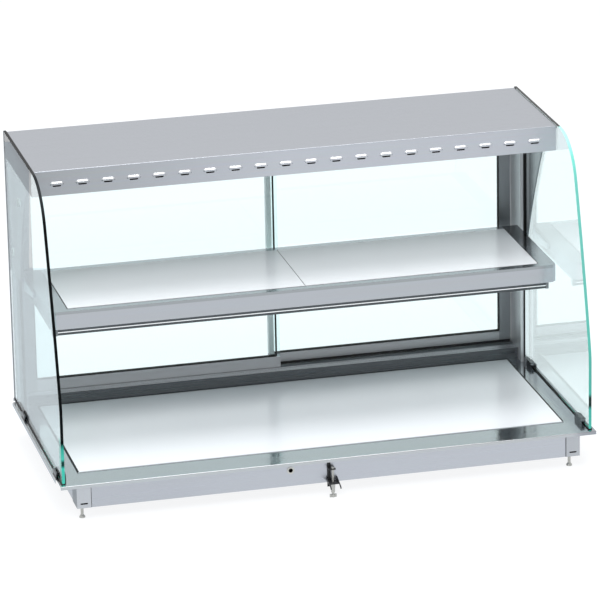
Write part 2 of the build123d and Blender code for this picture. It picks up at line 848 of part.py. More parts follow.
# Door glides: two plastic runners under the bottom rail
def door_glides(door):
    x0, x1 = door_ends[door]
    with BuildPart() as glides:
        with BuildSketch(Plane.XY.offset(door_bottom)):
            with Locations((x0 + glide_inset, groove_y[door]), (x1 - glide_inset, groove_y[door])):
                Rectangle(glide_length, glide_width)
        extrude(amount=glide_gap - door_running_gap)
    return glides.part


with BuildPart() as left_frame:
    add(door_rail("left", door_bottom, rail_top, rail_top))
    add(door_rail("left", rail_under, door_top, rail_under))
    add(closing_stile("left", -1))
keep(left_frame.part, "left_door_frame")

with BuildPart() as right_frame:
    add(door_rail("right", door_bottom, rail_top, rail_top))
    add(door_rail("right", rail_under, door_top, rail_under))
    add(closing_stile("right", 1))
    add(door_stile("right", meeting_stile_width, -1))
keep(right_frame.part, "right_door_frame")

pane_outer = door_outer - closing_stile_width + door_glass_bite
right_pane_low = meeting_stile_width - right_door_past_middle - door_glass_bite
keep(door_glass("left", -pane_outer, left_door_past_middle), "left_door_glass")
keep(door_glass("right", right_pane_low, pane_outer), "right_door_glass")
for door in sides:
    keep(door_glides(door), f"{door}_door_glides")


# Shelf outline: a rectangle with its two front corners cut
def shelf_outline():
    with BuildSketch() as outline:
        with Locations((0, (shelf_front + shelf_rear) / 2)):
            Rectangle(2 * shelf_half_width, shelf_rear - shelf_front)
        chamfer(outline.vertices().group_by(Axis.Y)[0], shelf_corner_cut)
    return outline.sketch


# Shelf frame: a folded tray, open below, with a sunk ledge that carries the two glass plates
with BuildPart() as shelf_frame:
    with BuildSketch(Plane.XY.offset(shelf_under)):
        add(shelf_outline())
    extrude(amount=shelf_face)
    with BuildSketch(Plane.XY.offset(shelf_under)):
        add(shelf_outline())
        offset(amount=-sheet)
    extrude(amount=shelf_face - sheet, mode=Mode.SUBTRACT)
    with BuildSketch(Plane.XY.offset(shelf_plate_under - sheet)):
        with Locations((0, shelf_plate_y)):
            Rectangle(
                2 * (shelf_plate_half_width + shelf_gasket_width + sheet),
                shelf_plate_depth + 2 * (shelf_gasket_width + sheet),
            )
    extrude(amount=shelf_top - shelf_plate_under + sheet)
    with BuildSketch(Plane.XY.offset(shelf_plate_under)):
        with Locations((0, shelf_plate_y)):
            Rectangle(
                2 * (shelf_plate_half_width + shelf_gasket_width),
                shelf_plate_depth + 2 * shelf_gasket_width,
            )
    extrude(amount=shelf_top - shelf_plate_under, mode=Mode.SUBTRACT)
    with BuildSketch(Plane.XY.offset(shelf_plate_under - sheet)):
        with Locations((0, shelf_plate_y)):
            Rectangle(2 * (shelf_plate_half_width - shelf_ledge), shelf_plate_depth - 2 * shelf_ledge)
    extrude(amount=sheet, mode=Mode.SUBTRACT)
keep(shelf_frame.part, "shelf_frame")

with BuildPart() as shelf_underside:
    with BuildSketch(Plane.XY.offset(shelf_under)):
        add(shelf_outline())
        offset(amount=-sheet)
    extrude(amount=sheet)
keep(shelf_underside.part, "shelf_underside")


# Shelf plate: white toughened glass on one half of the shelf
def shelf_plate(sign):
    width = shelf_plate_half_width - shelf_plate_joint / 2
    with BuildPart() as plate:
        with BuildSketch(Plane.XY.offset(shelf_plate_under)):
            with Locations((sign * (shelf_plate_joint + width) / 2, shelf_plate_y)):
                Rectangle(width, shelf_plate_depth)
        extrude(amount=shelf_plate_thickness)
    return plate.part


for side, sign in sides.items():
    keep(shelf_plate(sign), f"shelf_plate_{side}")

with BuildPart() as shelf_gasket:
    with BuildSketch(Plane.XY.offset(shelf_plate_under)):
        with Locations((0, shelf_plate_y)):
            Rectangle(
                2 * (shelf_plate_half_width + shelf_gasket_width),
                shelf_plate_depth + 2 * shelf_gasket_width,
            )
            Rectangle(2 * shelf_plate_half_width, shelf_plate_depth, mode=Mode.SUBTRACT)
            Rectangle(shelf_plate_joint, shelf_plate_depth)
    extrude(amount=shelf_plate_thickness - gasket_below_plate_top)
keep(shelf_gasket.part, "shelf_plate_gasket")

with BuildPart() as shelf_foil:
    with BuildSketch(Plane.XY.offset(shelf_plate_under)):
        with Locations((0, shelf_plate_y)):
            Rectangle(2 * (shelf_plate_half_width - foil_inset), shelf_plate_depth - 2 * foil_inset)
    extrude(amount=-foil_thickness)
keep(shelf_foil.part, "shelf_heating_foil")

with BuildPart() as shelf_insulation:
    with BuildSketch(Plane.XY.offset(shelf_plate_under - foil_thickness)):
        with Locations((0, shelf_plate_y)):
            Rectangle(2 * (shelf_plate_half_width - foil_inset), shelf_plate_depth - 2 * foil_inset)
    extrude(amount=-shelf_insulation_thickness)
keep(shelf_insulation.part, "shelf_insulation")


# Shelf hangers: plates with a tapered nose between each column and the shelf end
def shelf_hanger(sign):
    with BuildPart() as plate:
        with BuildSketch(Plane.YZ.offset(sign * shelf_half_width)):
            with BuildLine():
                Polyline(
                    (shelf_rear - hanger_reach, shelf_under + hanger_height),
                    (shelf_rear - hanger_reach, shelf_under + hanger_height - hanger_nose),
                    (column_front, shelf_under),
                    (column_front + column_depth / 3, shelf_under),
                    (column_front + column_depth / 3, shelf_under + hanger_height),
                    close=True,
                )
            make_face()
        extrude(amount=sign * hanger_thickness)
    return plate.part


with BuildPart() as shelf_hangers:
    for sign in sides.values():
        add(shelf_hanger(sign))
keep(shelf_hangers.part, "shelf_hangers")


# Shelf lamp: a flat strip with a light band under it and a round rod below, between two end blocks
lamp_end = shelf_half_width - lamp_block_length
with BuildPart() as lamp_strip:
    with BuildSketch(Plane.YZ.offset(-lamp_end)):
        with Locations((lamp_y, shelf_under - lamp_strip_drop - lamp_strip_height / 2)):
            Rectangle(lamp_strip_width, lamp_strip_height)
    extrude(amount=2 * lamp_end)
keep(lamp_strip.part, "shelf_lamp_strip")

with BuildPart() as lamp_light:
    with BuildSketch(Plane.YZ.offset(-lamp_end)):
        with Locations((lamp_y, shelf_under - lamp_strip_drop - lamp_strip_height - lamp_led_depth / 2)):
            Rectangle(lamp_led_width, lamp_led_depth)
    extrude(amount=2 * lamp_end)
keep(lamp_light.part, "shelf_lamp_light")

with BuildPart() as lamp_rod:
    with BuildSketch(Plane.YZ.offset(-lamp_end)):
        with Locations((lamp_y, shelf_under - lamp_rod_drop)):
            Circle(lamp_rod_radius)
    extrude(amount=2 * lamp_end)
keep(lamp_rod.part, "shelf_lamp_rod")

with BuildPart() as lamp_blocks:
    with BuildSketch(Plane.XY.offset(shelf_under)):
        for sign in sides.values():
            with Locations((sign * (lamp_end + lamp_block_length / 2), lamp_y)):
                Rectangle(lamp_block_length, lamp_block_width)
    extrude(amount=-lamp_block_height)
keep(lamp_blocks.part, "shelf_lamp_blocks")


# Clamp bracket: a strip on the wall with a tab that holds the screw
def clamp_bracket(sign):
    with BuildPart() as bracket:
        with BuildSketch(Plane.XY.offset(deck_under)):
            strip_x = clamp_strip_width / 2 - clamp_strip_side
            with Locations((strip_x, sign * (wall_y + clamp_strip_sheet / 2))):
                Rectangle(clamp_strip_width, clamp_strip_sheet)
        extrude(amount=-clamp_strip_length)
        with BuildSketch(Plane.XY.offset(clamp_tab_top)):
            tab_x = (clamp_tab_side - clamp_strip_side) / 2
            with Locations((tab_x, sign * (wall_y + clamp_tab_reach / 2))):
                Rectangle(clamp_tab_side + clamp_strip_side, clamp_tab_reach)
            with Locations((0, sign * (wall_y + clamp_screw_reach))):
                Circle(clamp_screw_radius + clamp_thread_gap, mode=Mode.SUBTRACT)
        extrude(amount=-clamp_strip_sheet)
    return bracket.part


# Clamp screw: a rod held in the tab by a cap and a collar, with a sleeve, a neck and a wing below
def clamp_screw(sign):
    cap_under = clamp_tab_top + clamp_collar_gap
    collar_top = clamp_tab_top - clamp_strip_sheet - clamp_collar_gap
    sleeve_top = claw_base_under - claw_seat_gap
    wing_top = wing_rise + wing_height
    with BuildPart() as screw:
        with BuildSketch(Plane.XZ):
            with BuildLine():
                Polyline(
                    (0, wing_rise),
                    (wing_hub_radius, wing_rise),
                    (wing_hub_radius, wing_top),
                    (neck_radius, wing_top),
                    (neck_radius, sleeve_top - sleeve_length),
                    (sleeve_low_radius, sleeve_top - sleeve_length),
                    (sleeve_top_radius, sleeve_top),
                    (clamp_screw_radius, sleeve_top),
                    (clamp_screw_radius, collar_top - clamp_collar_height),
                    (clamp_collar_radius, collar_top - clamp_collar_height),
                    (clamp_collar_radius, collar_top),
                    (clamp_screw_radius, collar_top),
                    (clamp_screw_radius, cap_under),
                    (clamp_cap_radius, cap_under),
                    (clamp_cap_radius, cap_under + clamp_cap_height),
                    (0, cap_under + clamp_cap_height),
                    close=True,
                )
            make_face()
        revolve(axis=Axis.Z)
        with BuildSketch(Plane.XY.offset(wing_rise)):
            SlotOverall(wing_span, wing_thickness)
        extrude(amount=wing_height)
    return screw.part.moved(Location((0, sign * (wall_y + clamp_screw_reach), 0)))


# Clamp claw: a pressed channel whose two ears slope down to the front
def clamp_claw(sign):
    back = wall_y + clamp_strip_sheet + claw_back_gap
    nose = wall_y + claw_reach
    knee = wall_y + claw_base_reach
    with BuildPart() as claw:
        with BuildSketch(Plane.YZ.offset(-claw_half_width)):
            with BuildLine():
                Polyline(
                    (sign * back, claw_base_under),
                    (sign * knee, claw_base_under),
                    (sign * nose, claw_base_under - claw_nose_drop),
                    (sign * nose, claw_base_under - claw_nose_top),
                    (sign * back, claw_base_under + claw_back_rise),
                    close=True,
                )
            make_face()
        extrude(amount=2 * claw_half_width)
        with BuildSketch(Plane.YZ.offset(claw_sheet - claw_half_width)):
            with BuildLine():
                Polyline(
                    (sign * back, claw_base_under + claw_sheet),
                    (sign * knee, claw_base_under + claw_sheet),
                    (sign * knee, claw_base_under - claw_nose_drop),
                    (sign * nose, claw_base_under - claw_nose_drop),
                    (sign * nose, claw_base_under + claw_back_rise),
                    (sign * back, claw_base_under + claw_back_rise),
                    close=True,
                )
            make_face()
        extrude(amount=2 * (claw_half_width - claw_sheet), mode=Mode.SUBTRACT)
        with BuildSketch(Plane.XY.offset(claw_base_under)):
            with Locations((0, sign * (wall_y + clamp_screw_reach))):
                Circle(clamp_screw_radius + clamp_thread_gap)
        extrude(amount=claw_sheet, mode=Mode.SUBTRACT)
    return claw.part


with BuildPart() as clamp_brackets:
    for sign in ends.values():
        add(clamp_bracket(sign))
keep(clamp_brackets.part, "clamp_brackets")
for end, sign in ends.items():
    keep(clamp_screw(sign), f"clamp_screw_{end}")
    keep(clamp_claw(sign), f"clamp_claw_{end}")

# Wall insert: a flanged bush through the front wall
with BuildPart() as wall_insert:
    with BuildSketch(Plane.XZ.offset(wall_y)):
        with Locations((insert_x, deck_top - insert_drop)):
            Circle(insert_flange_radius)
    extrude(amount=insert_flange_height)
    with BuildSketch(Plane.XZ.offset(wall_y)):
        with Locations((insert_x, deck_top - insert_drop)):
            Circle(insert_barrel_radius)
    extrude(amount=-insert_inside)
    with BuildSketch(Plane.XZ.offset(wall_y + insert_flange_height)):
        with Locations((insert_x, deck_top - insert_drop)):
            Circle(insert_bore_radius)
    extrude(amount=-insert_flange_height - insert_inside, mode=Mode.SUBTRACT)
keep(wall_insert.part, "wall_insert")

# Cable gland: a hexagon and a domed nut on a barrel through the back wall
with BuildPart() as cable_gland:
    with BuildSketch(Plane.XZ.offset(-wall_y)):
        with Locations((gland_x, deck_top - gland_drop)):
            RegularPolygon(gland_hex_width / 2, 6, major_radius=False)
    extrude(amount=-gland_hex_height)
    with BuildSketch(Plane.XZ.offset(-wall_y - gland_hex_height)):
        with Locations((gland_x, deck_top - gland_drop)):
            Circle(gland_barrel_radius)
    extrude(amount=-gland_dome_height, taper=14)
    with BuildSketch(Plane.XZ.offset(-wall_y)):
        with Locations((gland_x, deck_top - gland_drop)):
            Circle(gland_barrel_radius)
    extrude(amount=gland_inside)
    with BuildSketch(Plane.XZ.offset(gland_inside - wall_y)):
        with Locations((gland_x, deck_top - gland_drop)):
            Circle(gland_bore_radius)
    extrude(amount=-gland_inside - gland_hex_height - gland_dome_height, mode=Mode.SUBTRACT)
keep(cable_gland.part, "cable_gland")

# Terminal box: a plastic box, open to the back wall behind the gland
with BuildPart() as terminal_box:
    with BuildSketch(Plane.XZ.offset(sheet - wall_y)):
        with Locations((gland_x, deck_top - box_drop - box_height / 2)):
            Rectangle(box_length, box_height)
    extrude(amount=box_depth)
    with BuildSketch(Plane.XZ.offset(sheet - wall_y)):
        with Locations((gland_x, deck_top - box_drop - box_height / 2)):
            Rectangle(box_length - 2 * box_wall, box_height - 2 * box_wall)
    extrude(amount=box_depth - box_wall, mode=Mode.SUBTRACT)
keep(terminal_box.part, "terminal_box")
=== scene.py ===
import math

import bmesh
import bpy
import numpy as np
from mathutils import Matrix, Vector


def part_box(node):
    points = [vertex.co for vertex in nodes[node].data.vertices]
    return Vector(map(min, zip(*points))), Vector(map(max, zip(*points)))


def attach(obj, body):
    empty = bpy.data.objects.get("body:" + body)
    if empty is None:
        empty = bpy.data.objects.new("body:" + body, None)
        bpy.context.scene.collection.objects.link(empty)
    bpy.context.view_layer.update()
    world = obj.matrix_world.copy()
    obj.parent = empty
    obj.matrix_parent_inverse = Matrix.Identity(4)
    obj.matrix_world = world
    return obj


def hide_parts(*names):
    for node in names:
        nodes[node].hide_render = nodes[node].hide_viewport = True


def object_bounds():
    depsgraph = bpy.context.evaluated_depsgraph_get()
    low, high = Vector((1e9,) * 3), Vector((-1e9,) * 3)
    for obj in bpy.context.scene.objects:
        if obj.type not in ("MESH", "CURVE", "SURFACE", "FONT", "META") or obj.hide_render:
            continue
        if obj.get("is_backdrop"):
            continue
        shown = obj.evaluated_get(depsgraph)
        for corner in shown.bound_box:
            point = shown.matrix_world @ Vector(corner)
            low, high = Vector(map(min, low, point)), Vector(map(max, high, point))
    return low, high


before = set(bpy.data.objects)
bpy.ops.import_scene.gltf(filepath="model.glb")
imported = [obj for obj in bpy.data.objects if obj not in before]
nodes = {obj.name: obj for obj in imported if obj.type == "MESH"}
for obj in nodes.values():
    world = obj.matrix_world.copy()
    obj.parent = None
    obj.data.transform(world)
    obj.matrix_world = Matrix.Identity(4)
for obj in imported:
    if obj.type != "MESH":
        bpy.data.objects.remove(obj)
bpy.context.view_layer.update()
scene = bpy.context.scene

# Camera: a long lens from the front left and above, held about one degree out of level
# as the photograph was, so the rear uprights lean a little to the left.
azimuth, elevation, roll = math.radians(-13.50), math.radians(18.586), math.radians(-1.153)
target, distance = Vector((0.01429, 0.03018, 0.42081)), 11.7922
back = Vector((
    math.sin(azimuth) * math.cos(elevation),
    -math.cos(azimuth) * math.cos(elevation),
    math.sin(elevation),
))
level = Vector((math.cos(azimuth), math.sin(azimuth), 0.0))
upward = back.cross(level)
right = math.cos(roll) * level + math.sin(roll) * upward
camera = bpy.data.objects.new("camera", bpy.data.cameras.new("camera"))
scene.collection.objects.link(camera)
scene.camera = camera
camera.data.lens = 263.35
camera.data.sensor_width = 36.0
camera.data.clip_end = 100.0
camera.location = target + distance * back
camera.rotation_mode = "QUATERNION"
camera.rotation_quaternion = Matrix((right, back.cross(right), back)).transposed().to_quaternion()

# Light: a plain white room, with a wide soft box over the front left and another overhead.
# Mirrors and glass see the same white as the camera does.
scene.view_settings.view_transform = "Standard"


def rgb(code):
    """Linear RGBA of an sRGB hex colour such as b1b6c0."""
    parts = [int(code[i:i + 2], 16) / 255 for i in (0, 2, 4)]
    return tuple(c / 12.92 if c <= 0.04045 else ((c + 0.055) / 1.055) ** 2.4 for c in parts) + (1.0,)


def add(tree, kind, settings=None, **links):
    """Adds a node, sets its properties, then sets or links each input named (in0 is the first one)."""
    node = tree.nodes.new("ShaderNode" + kind)
    for key, value in (settings or {}).items():
        setattr(node, key, value)
    for key, value in links.items():
        name = int(key[2:]) if key[2:].isdigit() else key.replace("_", " ")
        if isinstance(value, bpy.types.NodeSocket):
            tree.links.new(value, node.inputs[name])
        else:
            node.inputs[name].default_value = value
    return node


def seen_directly(tree):
    """1 for what the camera sees, also in a mirror or through glass, and 0 for light that falls on things."""
    path = add(tree, "LightPath")
    seen = add(tree, "Math", {"operation": "MAXIMUM"}, in0=path.outputs["Is Camera Ray"],
               in1=path.outputs["Is Glossy Ray"])
    return add(tree, "Math", {"operation": "MAXIMUM"}, in0=seen.outputs[0],
               in1=path.outputs["Is Transmission Ray"])


room = bpy.data.worlds.new("white_room")
scene.world = room
room.use_nodes = True
tree = room.node_tree
seen = seen_directly(tree)
lit = add(tree, "Background", Color=(0.93, 0.96, 1.0, 1.0), Strength=0.72)
shown = add(tree, "Background", Color=(1.0, 1.0, 1.0, 1.0), Strength=1.0)
both = add(tree, "MixShader", in0=seen.outputs[0], in1=lit.outputs[0], in2=shown.outputs[0])
tree.links.new(both.outputs[0], tree.nodes["World Output"].inputs[0])

for name, place, size, power, aim in (
    ("key", (-1.4, -3.4, 3.8), 2.6, 95.0, (0.0, -0.1, 0.3)),
    ("overhead", (0.2, 0.2, 4.2), 3.0, 95.0, (0.0, 0.0, 0.3)),
):
    lamp = bpy.data.lights.new(name, "AREA")
    lamp.shape = "DISK"
    lamp.size = size
    lamp.energy = power
    holder = bpy.data.objects.new(name, lamp)
    scene.collection.objects.link(holder)
    holder.location = place
    holder.rotation_mode = "QUATERNION"
    holder.rotation_quaternion = (Vector(place) - Vector(aim)).to_track_quat("Z", "Y")

# Floor: a wide white paper sheet. It keeps a faint shadow of the unit.
reach = 40
corners = [(-reach, -reach, 0), (reach, -reach, 0), (reach, reach, 0), (-reach, reach, 0)]
floor_mesh = bpy.data.meshes.new("floor")
floor_mesh.from_pydata(corners, [], [(0, 1, 2, 3)])
floor = bpy.data.objects.new("floor", floor_mesh)
scene.collection.objects.link(floor)
paper = bpy.data.materials.new("white_paper")
paper.use_nodes = True
tree = paper.node_tree
tree.nodes.remove(tree.nodes["Principled BSDF"])
matt = add(tree, "BsdfDiffuse", Color=rgb("84878a"))
seen = seen_directly(tree)
level_up = add(tree, "Math", {"operation": "MULTIPLY"}, in0=seen.outputs[0], in1=0.84)
glow = add(tree, "Emission", Color=(1.0, 1.0, 1.0, 1.0), Strength=level_up.outputs[0])
paper_sum = add(tree, "AddShader", in0=matt.outputs[0], in1=glow.outputs[0])
tree.links.new(paper_sum.outputs[0], tree.nodes["Material Output"].inputs[0])
floor_mesh.materials.append(paper)
floor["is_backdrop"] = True

# Grey card: it lies on the floor behind the left side, seen only in reflections. The left glass
# and the column sides mirror it as the calm bluish grey of the photograph.
card_height = 0.002
card_outline = (
    (-0.84, -0.25), (-0.88, 0.26), (-1.07, 1.42), (-1.11, 1.757), (-1.021, 1.785), (-1.208, 2.79),
    (-1.22, 3.15), (-1.05, 3.15), (-0.85, 1.90), (-0.71, 0.85), (-0.71, -0.25),
)
card_mesh = bpy.data.meshes.new("grey_card")
card_mesh.from_pydata([(x, y, card_height) for x, y in card_outline], [],
                      [tuple(range(len(card_outline) - 1, -1, -1))])
card = bpy.data.objects.new("grey_card", card_mesh)
scene.collection.objects.link(card)
card.visible_camera = card.visible_diffuse = card.visible_transmission = card.visible_shadow = False
card_grey = bpy.data.materials.new("grey_card")
card_grey.use_nodes = True
tree = card_grey.node_tree
glow = add(tree, "Emission", Color=rgb("dfe7ef"), Strength=1.0)
tree.links.new(glow.outputs[0], tree.nodes["Material Output"].inputs[0])
card_mesh.materials.append(card_grey)
card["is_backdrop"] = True


# Stainless sheet of the canopy, well and posts: 1.5 mm 304 sheet with a fine brushed finish
# along its length, folded and welded. The brushing is 1 mm wide here so that it shows.
def finish(name, color, roughness=0.4, metallic=0.0):
    """A new material with one Principled shader: returns the material, its tree and its shader."""
    made = bpy.data.materials.new(name)
    made.use_nodes = True
    shader = made.node_tree.nodes["Principled BSDF"]
    shader.inputs["Base Color"].default_value = rgb(color)
    shader.inputs["Roughness"].default_value = roughness
    shader.inputs["Metallic"].default_value = metallic
    return made, made.node_tree, shader


def dress(made, *names):
    """Gives a material to CAD nodes."""
    for name in names:
        mesh = nodes[name].data
        mesh.materials.clear()
        mesh.materials.append(made)


def lined(tree, shader, scale, detail, polish):
    """Fine lines of brushed or drawn metal: noise stretched by scale (lines per metre on each axis)
    spreads the roughness between the two values of polish. Returns the coordinates and the noise."""
    where = add(tree, "TexCoord")
    along = add(tree, "Mapping", Vector=where.outputs["Object"], Scale=scale)
    grain = add(tree, "TexNoise", Vector=along.outputs[0], Scale=1.0, Detail=detail)
    low, high = polish
    spread = add(tree, "MapRange", in0=grain.outputs[0], in1=0.3, in2=0.7, in3=low, in4=high)
    tree.links.new(spread.outputs[0], shader.inputs["Roughness"])
    return where, grain


brushed, tree, shader = finish("brushed_stainless", "a9adb4", 0.32, 1.0)
where, grain = lined(tree, shader, (4.0, 1000.0, 1000.0), 4.0, (0.26, 0.38))
tone = add(tree, "MixRGB", in0=grain.outputs[0], in1=rgb("a3a7ae"), in2=rgb("afb3ba"))
# The ends, the faces that point along x, are painted lighter and less metallic, as painted light.
turned = add(tree, "SeparateXYZ", Vector=add(tree, "NewGeometry").outputs["Normal"])
sideways = add(tree, "Math", {"operation": "ABSOLUTE"}, in0=turned.outputs[0])
end = add(tree, "MapRange", in0=sideways.outputs[0], in1=0.7, in2=0.9, in3=0.0, in4=1.0)
tone = add(tree, "MixRGB", in0=end.outputs[0], in1=tone.outputs[0], in2=rgb("cfd6db"))
tree.links.new(tone.outputs[0], shader.inputs["Base Color"])
metal = add(tree, "MapRange", in0=end.outputs[0], in1=0.0, in2=1.0, in3=1.0, in4=0.25)
tree.links.new(metal.outputs[0], shader.inputs["Metallic"])
relief = add(tree, "Bump", Strength=0.08, Distance=0.0002, Height=grain.outputs[0])
tree.links.new(relief.outputs[0], shader.inputs["Normal"])
dress(brushed, "canopy_cover", "bottom_cover", "canopy_underside", "shelf_hangers", "shelf_underside")

# Well: the same 1.5 mm sheet, folded into an open box that hangs in the worktop and welded at the
# corners. Its front takes a little more light towards the right end.
well_half = 0.69
well_steel, tree, shader = finish("brushed_well_stainless", "adb1b8", 0.32, 1.0)
where, grain = lined(tree, shader, (4.0, 1000.0, 1000.0), 4.0, (0.26, 0.38))
split = add(tree, "SeparateXYZ", Vector=where.outputs["Object"])
across = add(tree, "MapRange", in0=split.outputs[0], in1=-well_half, in2=well_half, in3=0.0, in4=1.0)
tone = add(tree, "MixRGB", in0=across.outputs[0], in1=rgb("b5b9c0"), in2=rgb("b8bcc3"))
fleck = add(tree, "MixRGB", {"blend_type": "MULTIPLY"}, in0=0.06, in1=tone.outputs[0], in2=grain.outputs[1])
tree.links.new(fleck.outputs[0], shader.inputs["Base Color"])
relief = add(tree, "Bump", Strength=0.08, Distance=0.0002, Height=grain.outputs[0])
tree.links.new(relief.outputs[0], shader.inputs["Normal"])
dress(well_steel, "well_walls")

# Canopy front: the same sheet, brushed a little coarser and pressed into twenty louvres. It is
# painted darkest at the left end as painted shade, and the tops of the hoods are painted white as a painted
# highlight.
shade_from, shade_to = -0.72, -0.05
coarse, tree, shader = finish("coarse_brushed_stainless", "8f9397", 0.36, 1.0)
where, grain = lined(tree, shader, (5.0, 800.0, 800.0), 5.0, (0.30, 0.44))
split = add(tree, "SeparateXYZ", Vector=where.outputs["Object"])
across = add(tree, "MapRange", in0=split.outputs[0], in1=shade_from, in2=shade_to, in3=0.0, in4=1.0)
tone = add(tree, "MixRGB", in0=across.outputs[0], in1=rgb("a4a8ac"), in2=rgb("c0c4cb"))
fleck = add(tree, "MixRGB", {"blend_type": "MULTIPLY"}, in0=0.18, in1=tone.outputs[0], in2=grain.outputs[1])
turned = add(tree, "SeparateXYZ", Vector=add(tree, "NewGeometry").outputs["Normal"])
painted_hood_highlight = add(tree, "MapRange", in0=turned.outputs[2], in1=0.12, in2=0.45, in3=0.0, in4=1.0)
tone = add(tree, "MixRGB", in0=painted_hood_highlight.outputs[0], in1=fleck.outputs[0], in2=rgb("ffffff"))
tree.links.new(tone.outputs[0], shader.inputs["Base Color"])
relief = add(tree, "Bump", Strength=0.12, Distance=0.0002, Height=grain.outputs[0])
tree.links.new(relief.outputs[0], shader.inputs["Normal"])
dress(coarse, "canopy_front_panel")

# Corner posts: cold-rolled stainless angle welded over the corners of the well, a little lighter
# than the sheet behind it on the front and painted darker on the sides as painted shade. The
# front is painted a lighter tone on the left than on the right, as painted light. A tone that
# differs from left to right changes over within this distance of the middle.
change_over = 0.1
angle_steel, tree, shader = finish("cold_rolled_stainless", "dcdfe3", 0.38, 1.0)
where, grain = lined(tree, shader, (600.0, 600.0, 8.0), 3.0, (0.32, 0.46))
split = add(tree, "SeparateXYZ", Vector=where.outputs["Object"])
across = add(tree, "MapRange", in0=split.outputs[0], in1=-change_over, in2=change_over, in3=0.0, in4=1.0)
tone = add(tree, "MixRGB", in0=across.outputs[0], in1=rgb("bec2c7"), in2=rgb("b2b6bb"))
turned = add(tree, "SeparateXYZ", Vector=add(tree, "NewGeometry").outputs["Normal"])
sideways = add(tree, "Math", {"operation": "ABSOLUTE"}, in0=turned.outputs[0])
end = add(tree, "MapRange", in0=sideways.outputs[0], in1=0.7, in2=0.9, in3=0.0, in4=1.0)
tone = add(tree, "MixRGB", in0=end.outputs[0], in1=tone.outputs[0], in2=rgb("8b9094"))
fleck = add(tree, "MixRGB", {"blend_type": "MULTIPLY"}, in0=0.06, in1=tone.outputs[0], in2=grain.outputs[1])
tree.links.new(fleck.outputs[0], shader.inputs["Base Color"])
dress(angle_steel, "corner_posts")

# Deck: the same steel rolled bright, so the folded flange mirrors the columns and glasses with only
# a slight waviness. It is painted darker beside the right end of the plate, as painted shade. The
# heater reflectors match it.
bright, tree, shader = finish("bright_rolled_stainless", "b4b8bb", 0.10, 1.0)
where, grain = lined(tree, shader, (3.0, 60.0, 60.0), 3.0, (0.06, 0.16))
relief = add(tree, "Bump", Strength=0.04, Distance=0.0005, Height=grain.outputs[0])
tree.links.new(relief.outputs[0], shader.inputs["Normal"])
split = add(tree, "SeparateXYZ", Vector=where.outputs["Object"])
plate_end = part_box("deck_plate")[1].x
painted_shade_beside = add(tree, "MapRange", in0=split.outputs[0], in1=plate_end, in2=plate_end + 0.03, in3=0.0, in4=1.0)
tone = add(tree, "MixRGB", in0=painted_shade_beside.outputs[0], in1=rgb("b4b8bb"), in2=rgb("999da3"))
fleck = add(tree, "MixRGB", {"blend_type": "MULTIPLY"}, in0=0.04, in1=tone.outputs[0], in2=grain.outputs[1])
tree.links.new(fleck.outputs[0], shader.inputs["Base Color"])
dress(bright, "top_deck", "canopy_reflectors")

# Shelf frame: bright sheet too, pressed and welded, a tone darker than the deck. Its end rails are
# painted dark towards the rear as a painted reflection, and the rounded fold along the top of its
# front is painted a little darker as painted shade.
frame_steel, tree, shader = finish("satin_stainless", "adb1b6", 0.16, 1.0)
where, grain = lined(tree, shader, (3.0, 200.0, 200.0), 3.0, (0.12, 0.22))
relief = add(tree, "Bump", Strength=0.05, Distance=0.0003, Height=grain.outputs[0])
tree.links.new(relief.outputs[0], shader.inputs["Normal"])
split = add(tree, "SeparateXYZ", Vector=where.outputs["Object"])
outward = add(tree, "Math", {"operation": "ABSOLUTE"}, in0=split.outputs[0])
plate_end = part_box("shelf_plate_right")[1].x
end_rail = add(tree, "MapRange", in0=outward.outputs[0], in1=plate_end, in2=plate_end + 0.002,
               in3=0.0, in4=1.0)
shelf_low, shelf_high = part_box("shelf_frame")
rearward = add(tree, "MapRange", {"interpolation_type": "SMOOTHSTEP"}, in0=split.outputs[1],
               in1=shelf_high.y - 0.26, in2=shelf_high.y - 0.08, in3=0.0, in4=0.85)
shade = add(tree, "Math", {"operation": "MULTIPLY"}, in0=end_rail.outputs[0], in1=rearward.outputs[0])
tone = add(tree, "MixRGB", in0=shade.outputs[0], in1=rgb("adb1b6"), in2=rgb("3c4144"))
fold_line = add(tree, "MapRange", in0=split.outputs[2], in1=shelf_high.z - 0.0085,
                in2=shelf_high.z - 0.0070, in3=0.0, in4=1.0)
front_only = add(tree, "MapRange", in0=split.outputs[1], in1=shelf_low.y + 0.001,
                 in2=shelf_low.y + 0.004, in3=1.0, in4=0.0)
painted_fold_shade = add(tree, "Math", {"operation": "MULTIPLY"}, in0=fold_line.outputs[0], in1=front_only.outputs[0])
tone = add(tree, "MixRGB", in0=painted_fold_shade.outputs[0], in1=tone.outputs[0], in2=rgb("9a9fa2"))
fleck = add(tree, "MixRGB", {"blend_type": "MULTIPLY"}, in0=0.05, in1=tone.outputs[0], in2=grain.outputs[1])
tree.links.new(fleck.outputs[0], shader.inputs["Base Color"])
dress(frame_steel, "shelf_frame")

# Columns: flat box sections folded from 1.5 mm sheet, brushed upright and fixed to the deck. The
# right one is painted light; the left one has a face painted darker, and its outer side is painted
# light only in the middle and dark at front and back, as painted light and painted reflections.
def fill_ramp(ramp, stops):
    """Gives a colour ramp its stops, as pairs of place and sRGB hex colour."""
    elements = ramp.color_ramp.elements
    while len(elements) < len(stops):
        elements.new(0.5)
    for element, (position, code) in zip(elements, stops):
        element.position = position
        element.color = rgb(code)


